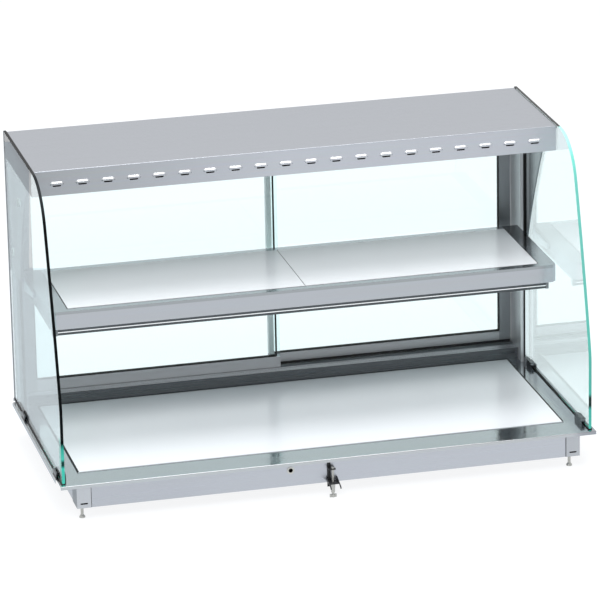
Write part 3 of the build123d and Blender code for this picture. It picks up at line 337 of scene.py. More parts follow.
column_steel, tree, shader = finish("upright_brushed_stainless", "b0b5b9", 0.40, 0.8)
where, grain = lined(tree, shader, (700.0, 700.0, 4.0), 4.0, (0.34, 0.50))
split = add(tree, "SeparateXYZ", Vector=where.outputs["Object"])
column_front, column_back = (corner.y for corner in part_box("column_left"))
facing = add(tree, "MapRange", in0=split.outputs[1], in1=column_front + 0.0005,
             in2=column_front + 0.003, in3=0.0, in4=1.0)
across = add(tree, "MapRange", in0=split.outputs[0], in1=-change_over, in2=change_over, in3=0.0, in4=1.0)
depth = add(tree, "MapRange", in0=split.outputs[1], in1=column_front, in2=column_back,
            in3=0.0, in4=1.0)
ramp = add(tree, "ValToRGB", in0=depth.outputs[0])
# Painted reflections on the left column's sides: dark at front and back, light in the middle.
painted_side_reflections = ((0.0, "4a4f53"), (0.30, "565b60"), (0.52, "b4b9be"), (0.80, "b4b9be"),
              (0.90, "45494c"), (1.0, "45494c"))
fill_ramp(ramp, painted_side_reflections)
face = add(tree, "MixRGB", in0=across.outputs[0], in1=rgb("8c9196"), in2=rgb("e0e4e6"))
painted_side_tone = add(tree, "MixRGB", in0=across.outputs[0], in1=ramp.outputs[0], in2=rgb("e0e4e6"))
tone = add(tree, "MixRGB", in0=facing.outputs[0], in1=face.outputs[0], in2=painted_side_tone.outputs[0])
fleck = add(tree, "MixRGB", {"blend_type": "MULTIPLY"}, in0=0.06, in1=tone.outputs[0], in2=grain.outputs[1])
tree.links.new(fleck.outputs[0], shader.inputs["Base Color"])
dress(column_steel, "column_left", "column_right")

# Gussets: tapered 3 mm plates of polished sheet that join each column to the canopy. Their colour
# is painted dark as a painted reflection of the dark inside of the rear frame, and the left one has
# a dark upright streak painted in, also as a painted reflection.
polished, tree, shader = finish("polished_stainless", "787e81", 0.14, 1.0)
where, grain = lined(tree, shader, (200.0, 200.0, 3.0), 3.0, (0.10, 0.22))
split = add(tree, "SeparateXYZ", Vector=where.outputs["Object"])
leftmost = add(tree, "MapRange", in0=split.outputs[0], in1=-change_over, in2=change_over, in3=1.0, in4=0.0)
before = add(tree, "MapRange", {"interpolation_type": "SMOOTHSTEP"}, in0=split.outputs[1],
             in1=column_front - 0.05, in2=column_front + 0.005, in3=0.0, in4=1.0)
behind = add(tree, "MapRange", {"interpolation_type": "SMOOTHSTEP"}, in0=split.outputs[1],
             in1=column_front + 0.02, in2=column_front + 0.06, in3=1.0, in4=0.0)
painted_reflection_streak = add(tree, "Math", {"operation": "MULTIPLY"}, in0=before.outputs[0], in1=behind.outputs[0])
painted_reflection_streak = add(tree, "Math", {"operation": "MULTIPLY"}, in0=painted_reflection_streak.outputs[0], in1=leftmost.outputs[0])
tone = add(tree, "MixRGB", in0=painted_reflection_streak.outputs[0], in1=rgb("787e81"), in2=rgb("191c1e"))
fleck = add(tree, "MixRGB", {"blend_type": "MULTIPLY"}, in0=0.05, in1=tone.outputs[0], in2=grain.outputs[1])
tree.links.new(fleck.outputs[0], shader.inputs["Base Color"])
dress(polished, "column_gussets")

# Rear sill: a folded stainless channel on the deck between the columns, with the grooves that the
# doors slide in. Its top and grooves are satin, and its front is painted dark as painted shade.
sill_steel, tree, shader = finish("satin_sill_stainless", "a8acaf", 0.30, 1.0)
where, grain = lined(tree, shader, (4.0, 500.0, 500.0), 3.0, (0.22, 0.38))
split = add(tree, "SeparateXYZ", Vector=where.outputs["Object"])
sill_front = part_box("rear_sill")[0].y
facing = add(tree, "MapRange", in0=split.outputs[1], in1=sill_front + 0.0005,
             in2=sill_front + 0.003, in3=0.0, in4=1.0)
tone = add(tree, "MixRGB", in0=facing.outputs[0], in1=rgb("676b6e"), in2=rgb("c9cdd0"))
fleck = add(tree, "MixRGB", {"blend_type": "MULTIPLY"}, in0=0.08, in1=tone.outputs[0], in2=grain.outputs[1])
tree.links.new(fleck.outputs[0], shader.inputs["Base Color"])
dress(sill_steel, "rear_sill")

# Glass clips: small blocks on the deck that hold the foot of each side glass, chrome plated, with
# their colour painted dark as a painted reflection of the deck
chrome, tree, shader = finish("dark_chrome", "55595c", 0.12, 1.0)
where = add(tree, "TexCoord")
cast = add(tree, "TexNoise", Vector=where.outputs["Object"], Scale=300.0, Detail=2.0)
relief = add(tree, "Bump", Strength=0.10, Distance=0.0003, Height=cast.outputs[0])
tree.links.new(relief.outputs[0], shader.inputs["Normal"])
dress(chrome, "glass_clips")

# White heated glass plates: 8 mm and 6 mm soda-lime glass, white on the back, let into the deck and
# the shelf over their heating foils. They are painted greyer towards the rear, as painted shade
# under the canopy and the shelf.
white, tree, shader = finish("white_backed_glass", "eff1f4", 0.2, 0.0)
where = add(tree, "TexCoord")
haze = add(tree, "TexNoise", Vector=where.outputs["Object"], Scale=9.0, Detail=2.0)
spread = add(tree, "MapRange", in0=haze.outputs[0], in1=0.3, in2=0.7, in3=0.16, in4=0.24)
tree.links.new(spread.outputs[0], shader.inputs["Roughness"])
split = add(tree, "SeparateXYZ", Vector=where.outputs["Object"])
plate_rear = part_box("deck_plate")[1].y
depth = add(tree, "MapRange", {"interpolation_type": "SMOOTHSTEP"}, in0=split.outputs[1],
            in1=plate_rear - 0.22, in2=plate_rear + 0.02, in3=0.0, in4=1.0)
tone = add(tree, "MixRGB", in0=depth.outputs[0], in1=rgb("f3f5f8"), in2=rgb("cdd2d6"))
tree.links.new(tone.outputs[0], shader.inputs["Base Color"])
dress(white, "deck_plate", "shelf_plate_left", "shelf_plate_right")

# Clear float glass of the doors and side glasses, and the quartz of the heater tubes: lamps shine
# through it and its faces only tint the white behind them. The front foot of the left side glass is
# tinted with the green of the cut edge, partly the glass's own green and partly a painted glow.
clear = bpy.data.materials.new("clear_float_glass")
clear.use_nodes = True
tree = clear.node_tree
shader = tree.nodes["Principled BSDF"]
shader.inputs["Base Color"].default_value = rgb("f0fdfd")
shader.inputs["Roughness"].default_value = 0.0
foot_height, foot_back, left_end = 0.222, -0.318, -0.691
where = add(tree, "TexCoord")
split = add(tree, "SeparateXYZ", Vector=where.outputs["Object"])
foot = add(tree, "MapRange", in0=split.outputs[2], in1=foot_height, in2=foot_height + 0.010,
           in3=1.0, in4=0.0)
forward = add(tree, "MapRange", in0=split.outputs[1], in1=foot_back, in2=foot_back + 0.014,
              in3=1.0, in4=0.0)
leftmost = add(tree, "MapRange", in0=split.outputs[0], in1=left_end, in2=left_end + 0.001,
               in3=1.0, in4=0.0)
green_and_glow = add(tree, "Math", {"operation": "MULTIPLY"}, in0=foot.outputs[0], in1=forward.outputs[0])
green_and_glow = add(tree, "Math", {"operation": "MULTIPLY"}, in0=green_and_glow.outputs[0], in1=leftmost.outputs[0])
tone = add(tree, "MixRGB", in0=green_and_glow.outputs[0], in1=rgb("f0fdfd"), in2=rgb("3fd2b4"))
tree.links.new(tone.outputs[0], shader.inputs["Base Color"])
shader.inputs["Transmission Weight"].default_value = 1.0
shader.inputs["IOR"].default_value = 1.5
shadow = add(tree, "BsdfTransparent", Color=rgb("f4fdfb"))
path = add(tree, "LightPath")
clear_mix = add(tree, "MixShader", in0=path.outputs["Is Shadow Ray"], in1=shader.outputs[0],
                in2=shadow.outputs[0])
tree.links.new(clear_mix.outputs[0], tree.nodes["Material Output"].inputs[0])
dress(clear, "left_door_glass", "right_door_glass", "heater_tubes")

# Side glasses: 8 mm float glass, bent at the knee and the brow, with ground and polished edges.
# The edges have the green of the glass with painted light and shade: bright on the right, near black
# on the left, with painted dark bands, and the left edge reflects less.
glass_front, glass_rear, glass_foot, glass_top = -0.3381, 0.352, 0.108, 0.8696
knee_start, knee_radius, knee_turn = 0.288, 0.196, math.radians(13.9)
bend_radius, lean = 5.495, math.radians(18.6)
brow_radius = 0.1496


def glass_outline():
    """Points (y, z) round a side glass, clockwise from the front foot: an upright run, then three arcs
    that each turn the edge further back (start + radius * (cos a0 - cos a, sin a - sin a0)), then the
    level top and the rear edge."""
    points = [np.array([[glass_front, glass_foot]]), np.array([[glass_front, knee_start]])]
    for radius, first, last, count in ((knee_radius, 0.0, knee_turn, 12), (bend_radius, knee_turn, lean, 24),
                                       (brow_radius, lean, math.pi / 2, 28)):
        angle = np.linspace(first, last, count + 1)[1:]
        turn = np.stack([math.cos(first) - np.cos(angle), np.sin(angle) - math.sin(first)], 1)
        points.append(points[-1][-1] + radius * turn)
    points.append(np.array([[glass_rear, points[-1][-1, 1]], [glass_rear, glass_foot]]))
    return np.concatenate(points)


def inset(outline, amount):
    """The outline moved inwards: each point goes along the mean of its two edge normals, over the cosine
    of half the turn, so that every edge moves by the same amount."""
    edge = np.roll(outline, -1, 0) - outline
    normal = np.stack([edge[:, 1], -edge[:, 0]], 1) / np.linalg.norm(edge, axis=1)[:, None]
    mean = normal + np.roll(normal, 1, 0)
    mean /= (mean ** 2).sum(1)[:, None] / 2
    return outline + amount * mean


def glass_sheet(name, x_low, x_high, arris, faces, rim):
    """A closed sheet: four rings of the outline, at x_low and x_high drawn in by the arris and full size
    one arris further in, with a flat face on each end. Faces take one material, rings the other."""
    outline = glass_outline()
    drawn = inset(outline, arris)
    rings = ((x_low, drawn), (x_low + arris, outline), (x_high - arris, outline), (x_high, drawn))
    count = len(outline)
    verts = np.concatenate([np.column_stack([np.full(count, x), ring]) for x, ring in rings])
    i = np.arange(count)
    j = (i + 1) % count
    quads = [np.stack([k * count + i, k * count + j, (k + 1) * count + j, (k + 1) * count + i], 1)
             for k in range(len(rings) - 1)]
    last = (len(rings) - 1) * count
    polygons = np.concatenate(quads).tolist() + [i.tolist(), (last + i[::-1]).tolist()]
    mesh = bpy.data.meshes.new(name)
    mesh.from_pydata(verts.tolist(), [], polygons)
    mesh.materials.append(faces)
    mesh.materials.append(rim)
    index = np.ones(len(polygons), int)
    index[-2:] = 0
    mesh.polygons.foreach_set("material_index", index)
    shell = bmesh.new()
    shell.from_mesh(mesh)
    bmesh.ops.recalc_face_normals(shell, faces=shell.faces)
    shell.to_mesh(mesh)
    shell.free()
    made = bpy.data.objects.new(name, mesh)
    scene.collection.objects.link(made)
    return made


green_edge_painted_bright = ((0.00, "5fd8c4"), (0.070, "58cdbb"), (0.085, "12312c"), (0.115, "12312c"),
              (0.130, "62cfbd"), (0.60, "74cfc0"), (0.93, "7cdccd"), (0.985, "a6ebe0"),
              (1.00, "a6ebe0"))
green_edge_painted_dark = ((0.00, "58dcc4"), (0.055, "50e0c8"), (0.065, "16463f"), (0.078, "16463f"),
              (0.088, "5ce2cb"), (0.125, "43c0ab"), (0.145, "04080a"), (0.88, "06090a"),
              (0.93, "24292c"), (1.00, "1a1e20"))
under_canopy, ground_edge = -0.066, 0.0008
for side, gloss, stops in (("right", 0.25, green_edge_painted_bright), ("left", 0.06, green_edge_painted_dark)):
    rim, tree, shader = finish(f"glass_edge_{side}", "5fd0be", 0.30, 0.0)
    shader.inputs["Specular IOR Level"].default_value = gloss
    where = add(tree, "TexCoord")
    split = add(tree, "SeparateXYZ", Vector=where.outputs["Object"])
    height = add(tree, "MapRange", in0=split.outputs[2], in1=glass_foot, in2=glass_top, in3=0.0, in4=1.0)
    ramp = add(tree, "ValToRGB", in0=height.outputs[0])
    fill_ramp(ramp, stops)
    # Behind this line, under the canopy, the edge is painted near black as painted shade.
    rear = add(tree, "MapRange", in0=split.outputs[1], in1=under_canopy, in2=under_canopy + 0.010,
               in3=0.0, in4=1.0)
    tone = add(tree, "MixRGB", in0=rear.outputs[0], in1=ramp.outputs[0], in2=rgb("090c0d"))
    tree.links.new(tone.outputs[0], shader.inputs["Base Color"])
    low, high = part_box(f"side_glass_{side}")
    sheet = glass_sheet(f"bent_glass_{side}", low.x, high.x, ground_edge, clear, rim)
    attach(sheet, "cabinet")
    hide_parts(f"side_glass_{side}")

# Black rubber and plastic: the gaskets that the glasses and shelf plates are pressed into, the
# moulded glides under the doors, and the moulded terminal box with its cable gland
rubber, tree, shader = finish("black_rubber", "0b0c0d", 0.55)
where = add(tree, "TexCoord")
skin = add(tree, "TexNoise", Vector=where.outputs["Object"], Scale=900.0, Detail=2.0)
relief = add(tree, "Bump", Strength=0.15, Distance=0.0002, Height=skin.outputs[0])
tree.links.new(relief.outputs[0], shader.inputs["Normal"])
dress(rubber, "glass_base_gaskets", "shelf_plate_gasket",
      "terminal_box", "cable_gland", "left_door_glides", "right_door_glides")

# Deck plate joint: black silicone run in between the plate and the deck, grey along the front
silicone, tree, shader = finish("joint_silicone", "15181a", 0.5)
where = add(tree, "TexCoord")
split = add(tree, "SeparateXYZ", Vector=where.outputs["Object"])
plate_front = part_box("deck_plate")[0].y
forward = add(tree, "MapRange", in0=split.outputs[1], in1=plate_front - 0.0005,
              in2=plate_front + 0.0005, in3=0.0, in4=1.0)
tone = add(tree, "MixRGB", in0=forward.outputs[0], in1=rgb("a3a9ac"), in2=rgb("15181a"))
tree.links.new(tone.outputs[0], shader.inputs["Base Color"])
skin = add(tree, "TexNoise", Vector=where.outputs["Object"], Scale=400.0, Detail=2.0)
relief = add(tree, "Bump", Strength=0.2, Distance=0.0003, Height=skin.outputs[0])
tree.links.new(relief.outputs[0], shader.inputs["Normal"])
dress(silicone, "deck_plate_gasket")

# Canopy end seals: the silicone joint between the canopy and the top of each side glass, black along
# its upper edge and milky below it
end_seal, tree, shader = finish("end_joint_silicone", "c4cbcf", 0.55)
where = add(tree, "TexCoord")
split = add(tree, "SeparateXYZ", Vector=where.outputs["Object"])
seal_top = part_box("canopy_end_seals")[1].z
upper = add(tree, "MapRange", in0=split.outputs[2], in1=seal_top - 0.006, in2=seal_top - 0.005,
            in3=0.0, in4=1.0)
tone = add(tree, "MixRGB", in0=upper.outputs[0], in1=rgb("d3dade"), in2=rgb("0b0c0d"))
tree.links.new(tone.outputs[0], shader.inputs["Base Color"])
skin = add(tree, "TexNoise", Vector=where.outputs["Object"], Scale=400.0, Detail=2.0)
relief = add(tree, "Bump", Strength=0.2, Distance=0.0003, Height=skin.outputs[0])
tree.links.new(relief.outputs[0], shader.inputs["Normal"])
dress(end_seal, "canopy_end_seals")

# Deck plate side joints: a black bead laid over the joint along each end of the plate. It stands a
# little over the glass and ends just short of the corners.
def rounded_section(width, height, count=20, power=5.0):
    """A rounded rectangle as (u, v) points: half sizes times the signed 2/power root of cos and sin."""
    angle = np.linspace(0.0, 2 * math.pi, count, endpoint=False) + math.pi / count
    wave = np.stack([np.cos(angle), np.sin(angle)], 1)
    return np.sign(wave) * np.abs(wave) ** (2 / power) * np.array([width, height]) / 2


def carried(name, section, path, u_axis, v_axis, made_of, closed=False):
    """The section carried along a path: each ring is a path point plus u times its own u axis and v times
    its own v axis. An open run is closed by a flat face at each end."""
    size = np.shape(path)
    path, u_axis, v_axis = (
        np.broadcast_to(np.asarray(part, float), size) for part in (path, u_axis, v_axis))
    rings = path[:, None] + section[None, :, :1] * u_axis[:, None] + section[None, :, 1:] * v_axis[:, None]
    steps, count = len(path), len(section)
    k = np.arange(steps if closed else steps - 1)[:, None]
    i = np.arange(count)[None, :]
    k, i = np.broadcast_arrays(k, i)
    next_k, next_i = (k + 1) % steps, (i + 1) % count
    quads = np.stack([k * count + i, k * count + next_i, next_k * count + next_i, next_k * count + i], -1)
    polygons = quads.reshape(-1, 4).tolist()
    if not closed:
        polygons += [list(range(count))[::-1], list(range((steps - 1) * count, steps * count))]
    mesh = bpy.data.meshes.new(name)
    mesh.from_pydata(rings.reshape(-1, 3).tolist(), [], polygons)
    mesh.materials.append(made_of)
    shell = bmesh.new()
    shell.from_mesh(mesh)
    bmesh.ops.recalc_face_normals(shell, faces=shell.faces)
    shell.to_mesh(mesh)
    shell.free()
    made = bpy.data.objects.new(name, mesh)
    scene.collection.objects.link(made)
    return made


plate_low, plate_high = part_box("deck_plate")
joint_out, joint_short, joint_over = 0.0014, 0.001, 0.0001
for side, x in (("left", plate_low.x - joint_out), ("right", plate_high.x + joint_out)):
    run = np.array([[x, plate_low.y + joint_short, plate_high.z + joint_over],
                    [x, plate_high.y - joint_short, plate_high.z + joint_over]])
    joint = carried(f"deck_plate_joint_{side}", rounded_section(0.0040, 0.0014), run,
                    (1, 0, 0), (0, 0, 1), rubber)
    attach(joint, "cabinet")

# Column seals: a black extruded rubber lip pushed on down the front edge of each column, on the side
# of its side glass. The left one is wider.
column_low, column_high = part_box("column_left")[0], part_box("column_right")[1]
seal_depth, seal_ahead, seal_short = 0.0030, 0.0012, 0.001
for side, edge_x, width in (("left", column_low.x + 0.0040, 0.0080),
                            ("right", column_high.x - 0.0023, 0.0046)):
    low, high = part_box(f"column_{side}")
    run = np.array([[edge_x, low.y - seal_ahead, low.z + seal_short],
                    [edge_x, low.y - seal_ahead, high.z - seal_short]])
    lip = carried(f"column_seal_{side}", rounded_section(width, seal_depth), run,
                  (1, 0, 0), (0, 1, 0), rubber)
    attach(lip, "cabinet")

# Glass edge trims: an extruded aluminium channel, anodised grey, pushed over the rear edge of each
# side glass. It is drawn upright, so the fine lines run up it.
trim_grey, tree, shader = finish("grey_anodised_trim", "7c8185", 0.42, 0.7)
where = add(tree, "TexCoord")
along = add(tree, "Mapping", Vector=where.outputs["Object"], Scale=(900.0, 900.0, 5.0))
draw = add(tree, "TexNoise", Vector=along.outputs[0], Scale=1.0, Detail=3.0)
tone = add(tree, "MixRGB", in0=draw.outputs[0], in1=rgb("70757a"), in2=rgb("8b9094"))
tree.links.new(tone.outputs[0], shader.inputs["Base Color"])
trim_wall, trim_depth, trim_y, trim_short = 0.0008, 0.0136, glass_rear - 0.006, 0.002
for side in ("left", "right"):
    low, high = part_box(f"side_glass_{side}")
    x = (low.x + high.x) / 2
    run = np.array([[x, trim_y, low.z + trim_short], [x, trim_y, high.z - trim_short]])
    section = rounded_section(high.x - low.x + 2 * trim_wall, trim_depth, 28)
    trim = carried(f"glass_edge_trim_{side}", section, run, (1, 0, 0), (0, 1, 0), trim_grey)
    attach(trim, "cabinet")

# Clip jaws: the outer half of each glass clip, a chrome plated block that pinches the foot of the
# glass. It is 48 mm long and drawn in over the last 3 mm of each end.
glass_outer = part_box("side_glass_right")[1].x
jaw_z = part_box("glass_clips")[0].z + 0.0065
jaw_steps = np.array([-0.024, -0.021, 0.021, 0.024])
grow = np.array([[0.55], [1.0], [1.0], [0.55]])
for side, sign in (("left", -1), ("right", 1)):
    for end, y in (("front", -0.262), ("rear", 0.190)):
        x = sign * (glass_outer + 0.0034)
        run = np.column_stack([np.full(4, x), y + jaw_steps, np.full(4, jaw_z)])
        # The jaws take the clips' chrome, whose colour is painted dark as a painted reflection.
        jaw = carried(f"clip_jaw_{side}_{end}", rounded_section(0.0064, 0.0125, 24, 4.0), run,
                      grow * np.array([1.0, 0, 0]), grow * np.array([0, 0, 1.0]), chrome)
        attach(jaw, "cabinet")

# Door glazing beads: black rubber pressed in round each door glass, on both faces of the frame. The
# left door's bead is a closed ring, and the right door's leaves out the left side.
bead_inset, bead_radius, bead_width, bead_steps = 0.0104, 0.003, 0.0026, 96
for side in ("left", "right"):
    low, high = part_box(f"{side}_door_glass")
    frame_low, frame_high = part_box(f"{side}_door_frame")
    for face, y_glass, y_frame in (("front", low.y, frame_low.y), ("back", high.y, frame_high.y)):
        half_x, half_z = (high.x - low.x) / 2 - bead_inset, (high.z - low.z) / 2 - bead_inset
        angle = np.linspace(0.0, 2 * math.pi, bead_steps, endpoint=False) + math.pi / bead_steps
        out = np.stack([np.cos(angle), np.sin(angle)], 1)
        corner = np.sign(out) * np.array([half_x - bead_radius, half_z - bead_radius])
        ring = corner + bead_radius * out
        y = np.full(bead_steps, (y_glass + y_frame) / 2)
        path = np.column_stack([ring[:, 0] + (low.x + high.x) / 2, y,
                                ring[:, 1] + (low.z + high.z) / 2])
        normal = np.column_stack([out[:, 0], np.zeros(bead_steps), out[:, 1]])
        if side == "right":
            path = np.roll(path, bead_steps // 2, 0)
            normal = np.roll(normal, bead_steps // 2, 0)
        section = rounded_section(bead_width, abs(y_glass - y_frame) - 0.0006, 12)
        bead = carried(f"{side}_door_bead_{face}", section, path, normal, (0, 1, 0), rubber,
                       closed=side == "left")
        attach(bead, f"{side}_door")

# Clamps: brackets on the front and back walls and the claws that their screws lift, pressed from
# mild steel and oiled dark, with the faint mottle of the press
dark, tree, shader = finish("oiled_pressed_steel", "2e2f31", 0.4, 0.6)
where = add(tree, "TexCoord")
mottle = add(tree, "TexNoise", Vector=where.outputs["Object"], Scale=180.0, Detail=4.0)
tone = add(tree, "MixRGB", in0=mottle.outputs[0], in1=rgb("242527"), in2=rgb("3b3c3e"))
tree.links.new(tone.outputs[0], shader.inputs["Base Color"])
relief = add(tree, "Bump", Strength=0.12, Distance=0.0003, Height=mottle.outputs[0])
tree.links.new(relief.outputs[0], shader.inputs["Normal"])
dress(dark, "clamp_brackets", "clamp_claw_front", "clamp_claw_rear")

# Wall insert and heater guards: turned and welded steel, zinc plated. The clear passivate leaves a
# soft cloudy sheen.
zinc, tree, shader = finish("zinc_plate", "b9bab6", 0.35, 1.0)
where = add(tree, "TexCoord")
cloud = add(tree, "TexNoise", Vector=where.outputs["Object"], Scale=120.0, Detail=3.0)
tone = add(tree, "MixRGB", in0=cloud.outputs[0], in1=rgb("a9aaa6"), in2=rgb("c8c9c5"))
tree.links.new(tone.outputs[0], shader.inputs["Base Color"])
dress(zinc, "wall_insert", "heater_guards")

# Feet and clamp screws: the same plating over a rolled thread, drawn here at a pitch of 1.5 mm. A wave
# texture turns once in 0.314 / scale, so 209 gives that pitch.
thread, tree, shader = finish("zinc_plated_thread", "b9bab6", 0.32, 1.0)
where = add(tree, "TexCoord")
pitch = add(tree, "TexWave", {"bands_direction": "Z"}, Vector=where.outputs["Object"], Scale=209.0)
tone = add(tree, "MixRGB", in0=pitch.outputs["Fac"], in1=rgb("9c9d9a"), in2=rgb("c6c7c3"))
tree.links.new(tone.outputs[0], shader.inputs["Base Color"])
relief = add(tree, "Bump", Strength=0.5, Distance=0.0004, Height=pitch.outputs["Fac"])
tree.links.new(relief.outputs[0], shader.inputs["Normal"])
dress(thread, "clamp_screw_front", "clamp_screw_rear", "foot_front_left", "foot_front_right",
      "foot_rear_left", "foot_rear_right")

# Upper track and canopy lamp channel: extruded aluminium, satin anodised, with fine draw lines along
# it, both fixed under the canopy
alloy, tree, shader = finish("anodised_aluminium", "a2a5a8", 0.28, 1.0)
lined(tree, shader, (5.0, 900.0, 900.0), 3.0, (0.22, 0.36))
dress(alloy, "upper_track", "canopy_lamp_channel")

# Door frames: lighter anodised bars, the wide closing stile at each outer end in a darker grey, and
# the bottom rails painted a tone darker than the parts above as a painted reflection. The right
# door's frame is white and not metallic at its end that meets the left door, above the bottom rail,
# and is lost against the light behind it.
door_low, door_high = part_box("right_door_frame")
rail_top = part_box("right_door_glass")[0].z + 0.008
closing_width, fade, meeting_end = 0.034, 0.001, 0.10
door_alloy, tree, shader = finish("pale_anodised_aluminium", "ccd0d3", 0.38, 1.0)
where, draw = lined(tree, shader, (40.0, 900.0, 900.0), 3.0, (0.32, 0.46))
split = add(tree, "SeparateXYZ", Vector=where.outputs["Object"])
upright = add(tree, "MapRange", in0=split.outputs[2], in1=rail_top, in2=rail_top + fade,
              in3=0.0, in4=1.0)
outward = add(tree, "Math", {"operation": "ABSOLUTE"}, in0=split.outputs[0])
closing = add(tree, "MapRange", in0=outward.outputs[0], in1=door_high.x - closing_width,
              in2=door_high.x - closing_width + fade, in3=0.0, in4=1.0)
edge = add(tree, "MapRange", in0=split.outputs[1], in1=door_low.y - fade, in2=door_low.y - fade / 2,
           in3=0.0, in4=1.0)
meeting = add(tree, "MapRange", in0=split.outputs[0], in1=meeting_end, in2=meeting_end + 0.01,
              in3=1.0, in4=0.0)
edge = add(tree, "Math", {"operation": "MULTIPLY"}, in0=edge.outputs[0], in1=meeting.outputs[0])
edge = add(tree, "Math", {"operation": "MULTIPLY"}, in0=edge.outputs[0], in1=upright.outputs[0])
tone = add(tree, "MixRGB", in0=upright.outputs[0], in1=rgb("b0b4b7"), in2=rgb("d2d6d9"))
tone = add(tree, "MixRGB", in0=closing.outputs[0], in1=tone.outputs[0], in2=rgb("8a8f92"))
fleck = add(tree, "MixRGB", {"blend_type": "MULTIPLY"}, in0=0.08, in1=tone.outputs[0], in2=draw.outputs[1])
tone = add(tree, "MixRGB", in0=edge.outputs[0], in1=fleck.outputs[0], in2=rgb("f6fafa"))
tree.links.new(tone.outputs[0], shader.inputs["Base Color"])
metal = add(tree, "MapRange", in0=edge.outputs[0], in1=0.0, in2=1.0, in3=1.0, in4=0.0)
tree.links.new(metal.outputs[0], shader.inputs["Metallic"])
dress(door_alloy, "left_door_frame", "right_door_frame")

# Door shadow strip: a black rubber strip along the front of the right door's bottom rail, just
# short of the ends of the door. Its black is painted shadow: it stands for the shadow line between
# the rail and the sill.
strip_short, strip_drop = 0.002, 0.027
run = np.array([[door_low.x + strip_short, door_low.y, rail_top - strip_drop],
                [door_high.x - strip_short, door_low.y, rail_top - strip_drop]])
shadow_strip = carried("right_door_shadow_strip", rounded_section(0.0022, 0.0056, 16), run, (0, 1, 0), (0, 0, 1),
                rubber)
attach(shadow_strip, "right_door")

# Shelf lamp: a satin housing under the front of the shelf, a dark slot, a bright tube and a dark body
# below it, and a grey moulded holder at each end. They stand for the plain strip, rod and blocks. The
# rows give each bar's section, its place from the lamp's front and the shelf's foot, and its end gap.
block_low, block_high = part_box("shelf_lamp_blocks")
lamp_front, lamp_top, lamp_half = block_low.y - 0.002, shelf_low.z, block_high.x - 0.012
holder_width, holder_drop, bar_gap = 0.007, 0.0150, 0.005
holder_grey, tree, shader = finish("moulded_grey_nylon", "9aa0a3", 0.42)
where = add(tree, "TexCoord")
skin = add(tree, "TexNoise", Vector=where.outputs["Object"], Scale=500.0, Detail=2.0)
relief = add(tree, "Bump", Strength=0.15, Distance=0.0002, Height=skin.outputs[0])
tree.links.new(relief.outputs[0], shader.inputs["Normal"])
slot_black, tree, shader = finish("black_anodised_slot", "565b5e", 0.30, 0.8)
tube_bright, tree, shader = finish("bright_drawn_tube", "e9ecee", 0.2, 1.0)
housing_steel, tree, shader = finish("satin_lamp_housing", "b4b8bd", 0.24, 1.0)
lined(tree, shader, (5.0, 900.0, 900.0), 3.0, (0.18, 0.30))
for name, width, height, power, y, z, gap, made_of, taken in (
    ("lamp_housing", 0.018, 0.0125, 5.0, 0.010, -0.0070, 0.0, housing_steel, "shelf_lamp_strip"),
    ("lamp_slot", 0.014, 0.0060, 5.0, 0.0105, -0.0155, 0.001, slot_black, "shelf_lamp_light"),
    ("lamp_tube", 0.014, 0.0042, 5.0, 0.0083, -0.0195, 0.001, tube_bright, "shelf_lamp_rod"),
    ("lamp_body", 0.013, 0.0072, 3.0, 0.0085, -0.0250, 0.001, slot_black, None),
):
    span = lamp_half - bar_gap - gap
    run = np.array([[-span, lamp_front + y, lamp_top + z], [span, lamp_front + y, lamp_top + z]])
    bar = carried(name, rounded_section(width, height, 24, power), run, (0, 1, 0), (0, 0, 1), made_of)
    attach(bar, "cabinet")
    if taken:
        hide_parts(taken)
for side, sign in (("left", -1), ("right", 1)):
    y, z = lamp_front + 0.009, lamp_top - holder_drop
    run = np.array([[sign * (lamp_half - holder_width), y, z], [sign * lamp_half, y, z]])
    holder_piece = carried(f"lamp_holder_{side}", rounded_section(0.018, 0.0296, 28), run,
                           (0, 1, 0), (0, 0, 1), holder_grey)
    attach(holder_piece, "cabinet")
    if side == "left":
        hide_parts("shelf_lamp_blocks")

# Canopy fold: the bright line along the edge where the top sheet is folded down over the front, a
# 1.6 mm round whose centre lies 0.2 mm inside the corner
low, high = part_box("canopy_cover")
fold, tree, shader = finish("bright_fold", "b9bdc4", 0.38, 1.0)
fold_short, fold_size, fold_sunk = 0.002, 0.0016, 0.0002
run = np.array([[low.x + fold_short, low.y + fold_sunk, high.z - fold_sunk],
                [high.x - fold_short, low.y + fold_sunk, high.z - fold_sunk]])
bead = carried("canopy_fold", rounded_section(fold_size, fold_size, 12, 2.0), run,
               (0, 1, 0), (0, 0, 1), fold)
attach(bead, "cabinet")

# Post seams: the dark joint where each corner post laps over the well, a thin strip laid over the
# inner edge of the post
low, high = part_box("corner_posts")
seam_x, seam_proud = high.x - 0.0384, 0.0001
for end, y in (("front", low.y - seam_proud), ("rear", high.y + seam_proud)):
    for side, sign in (("left", -1), ("right", 1)):
        run = np.array([[sign * seam_x, y, low.z + 0.001], [sign * seam_x, y, high.z - 0.003]])
        seam = carried(f"post_seam_{end}_{side}", rounded_section(0.0014, 0.0006, 10), run,
                       (1, 0, 0), (0, 1, 0), rubber)
        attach(seam, "cabinet")

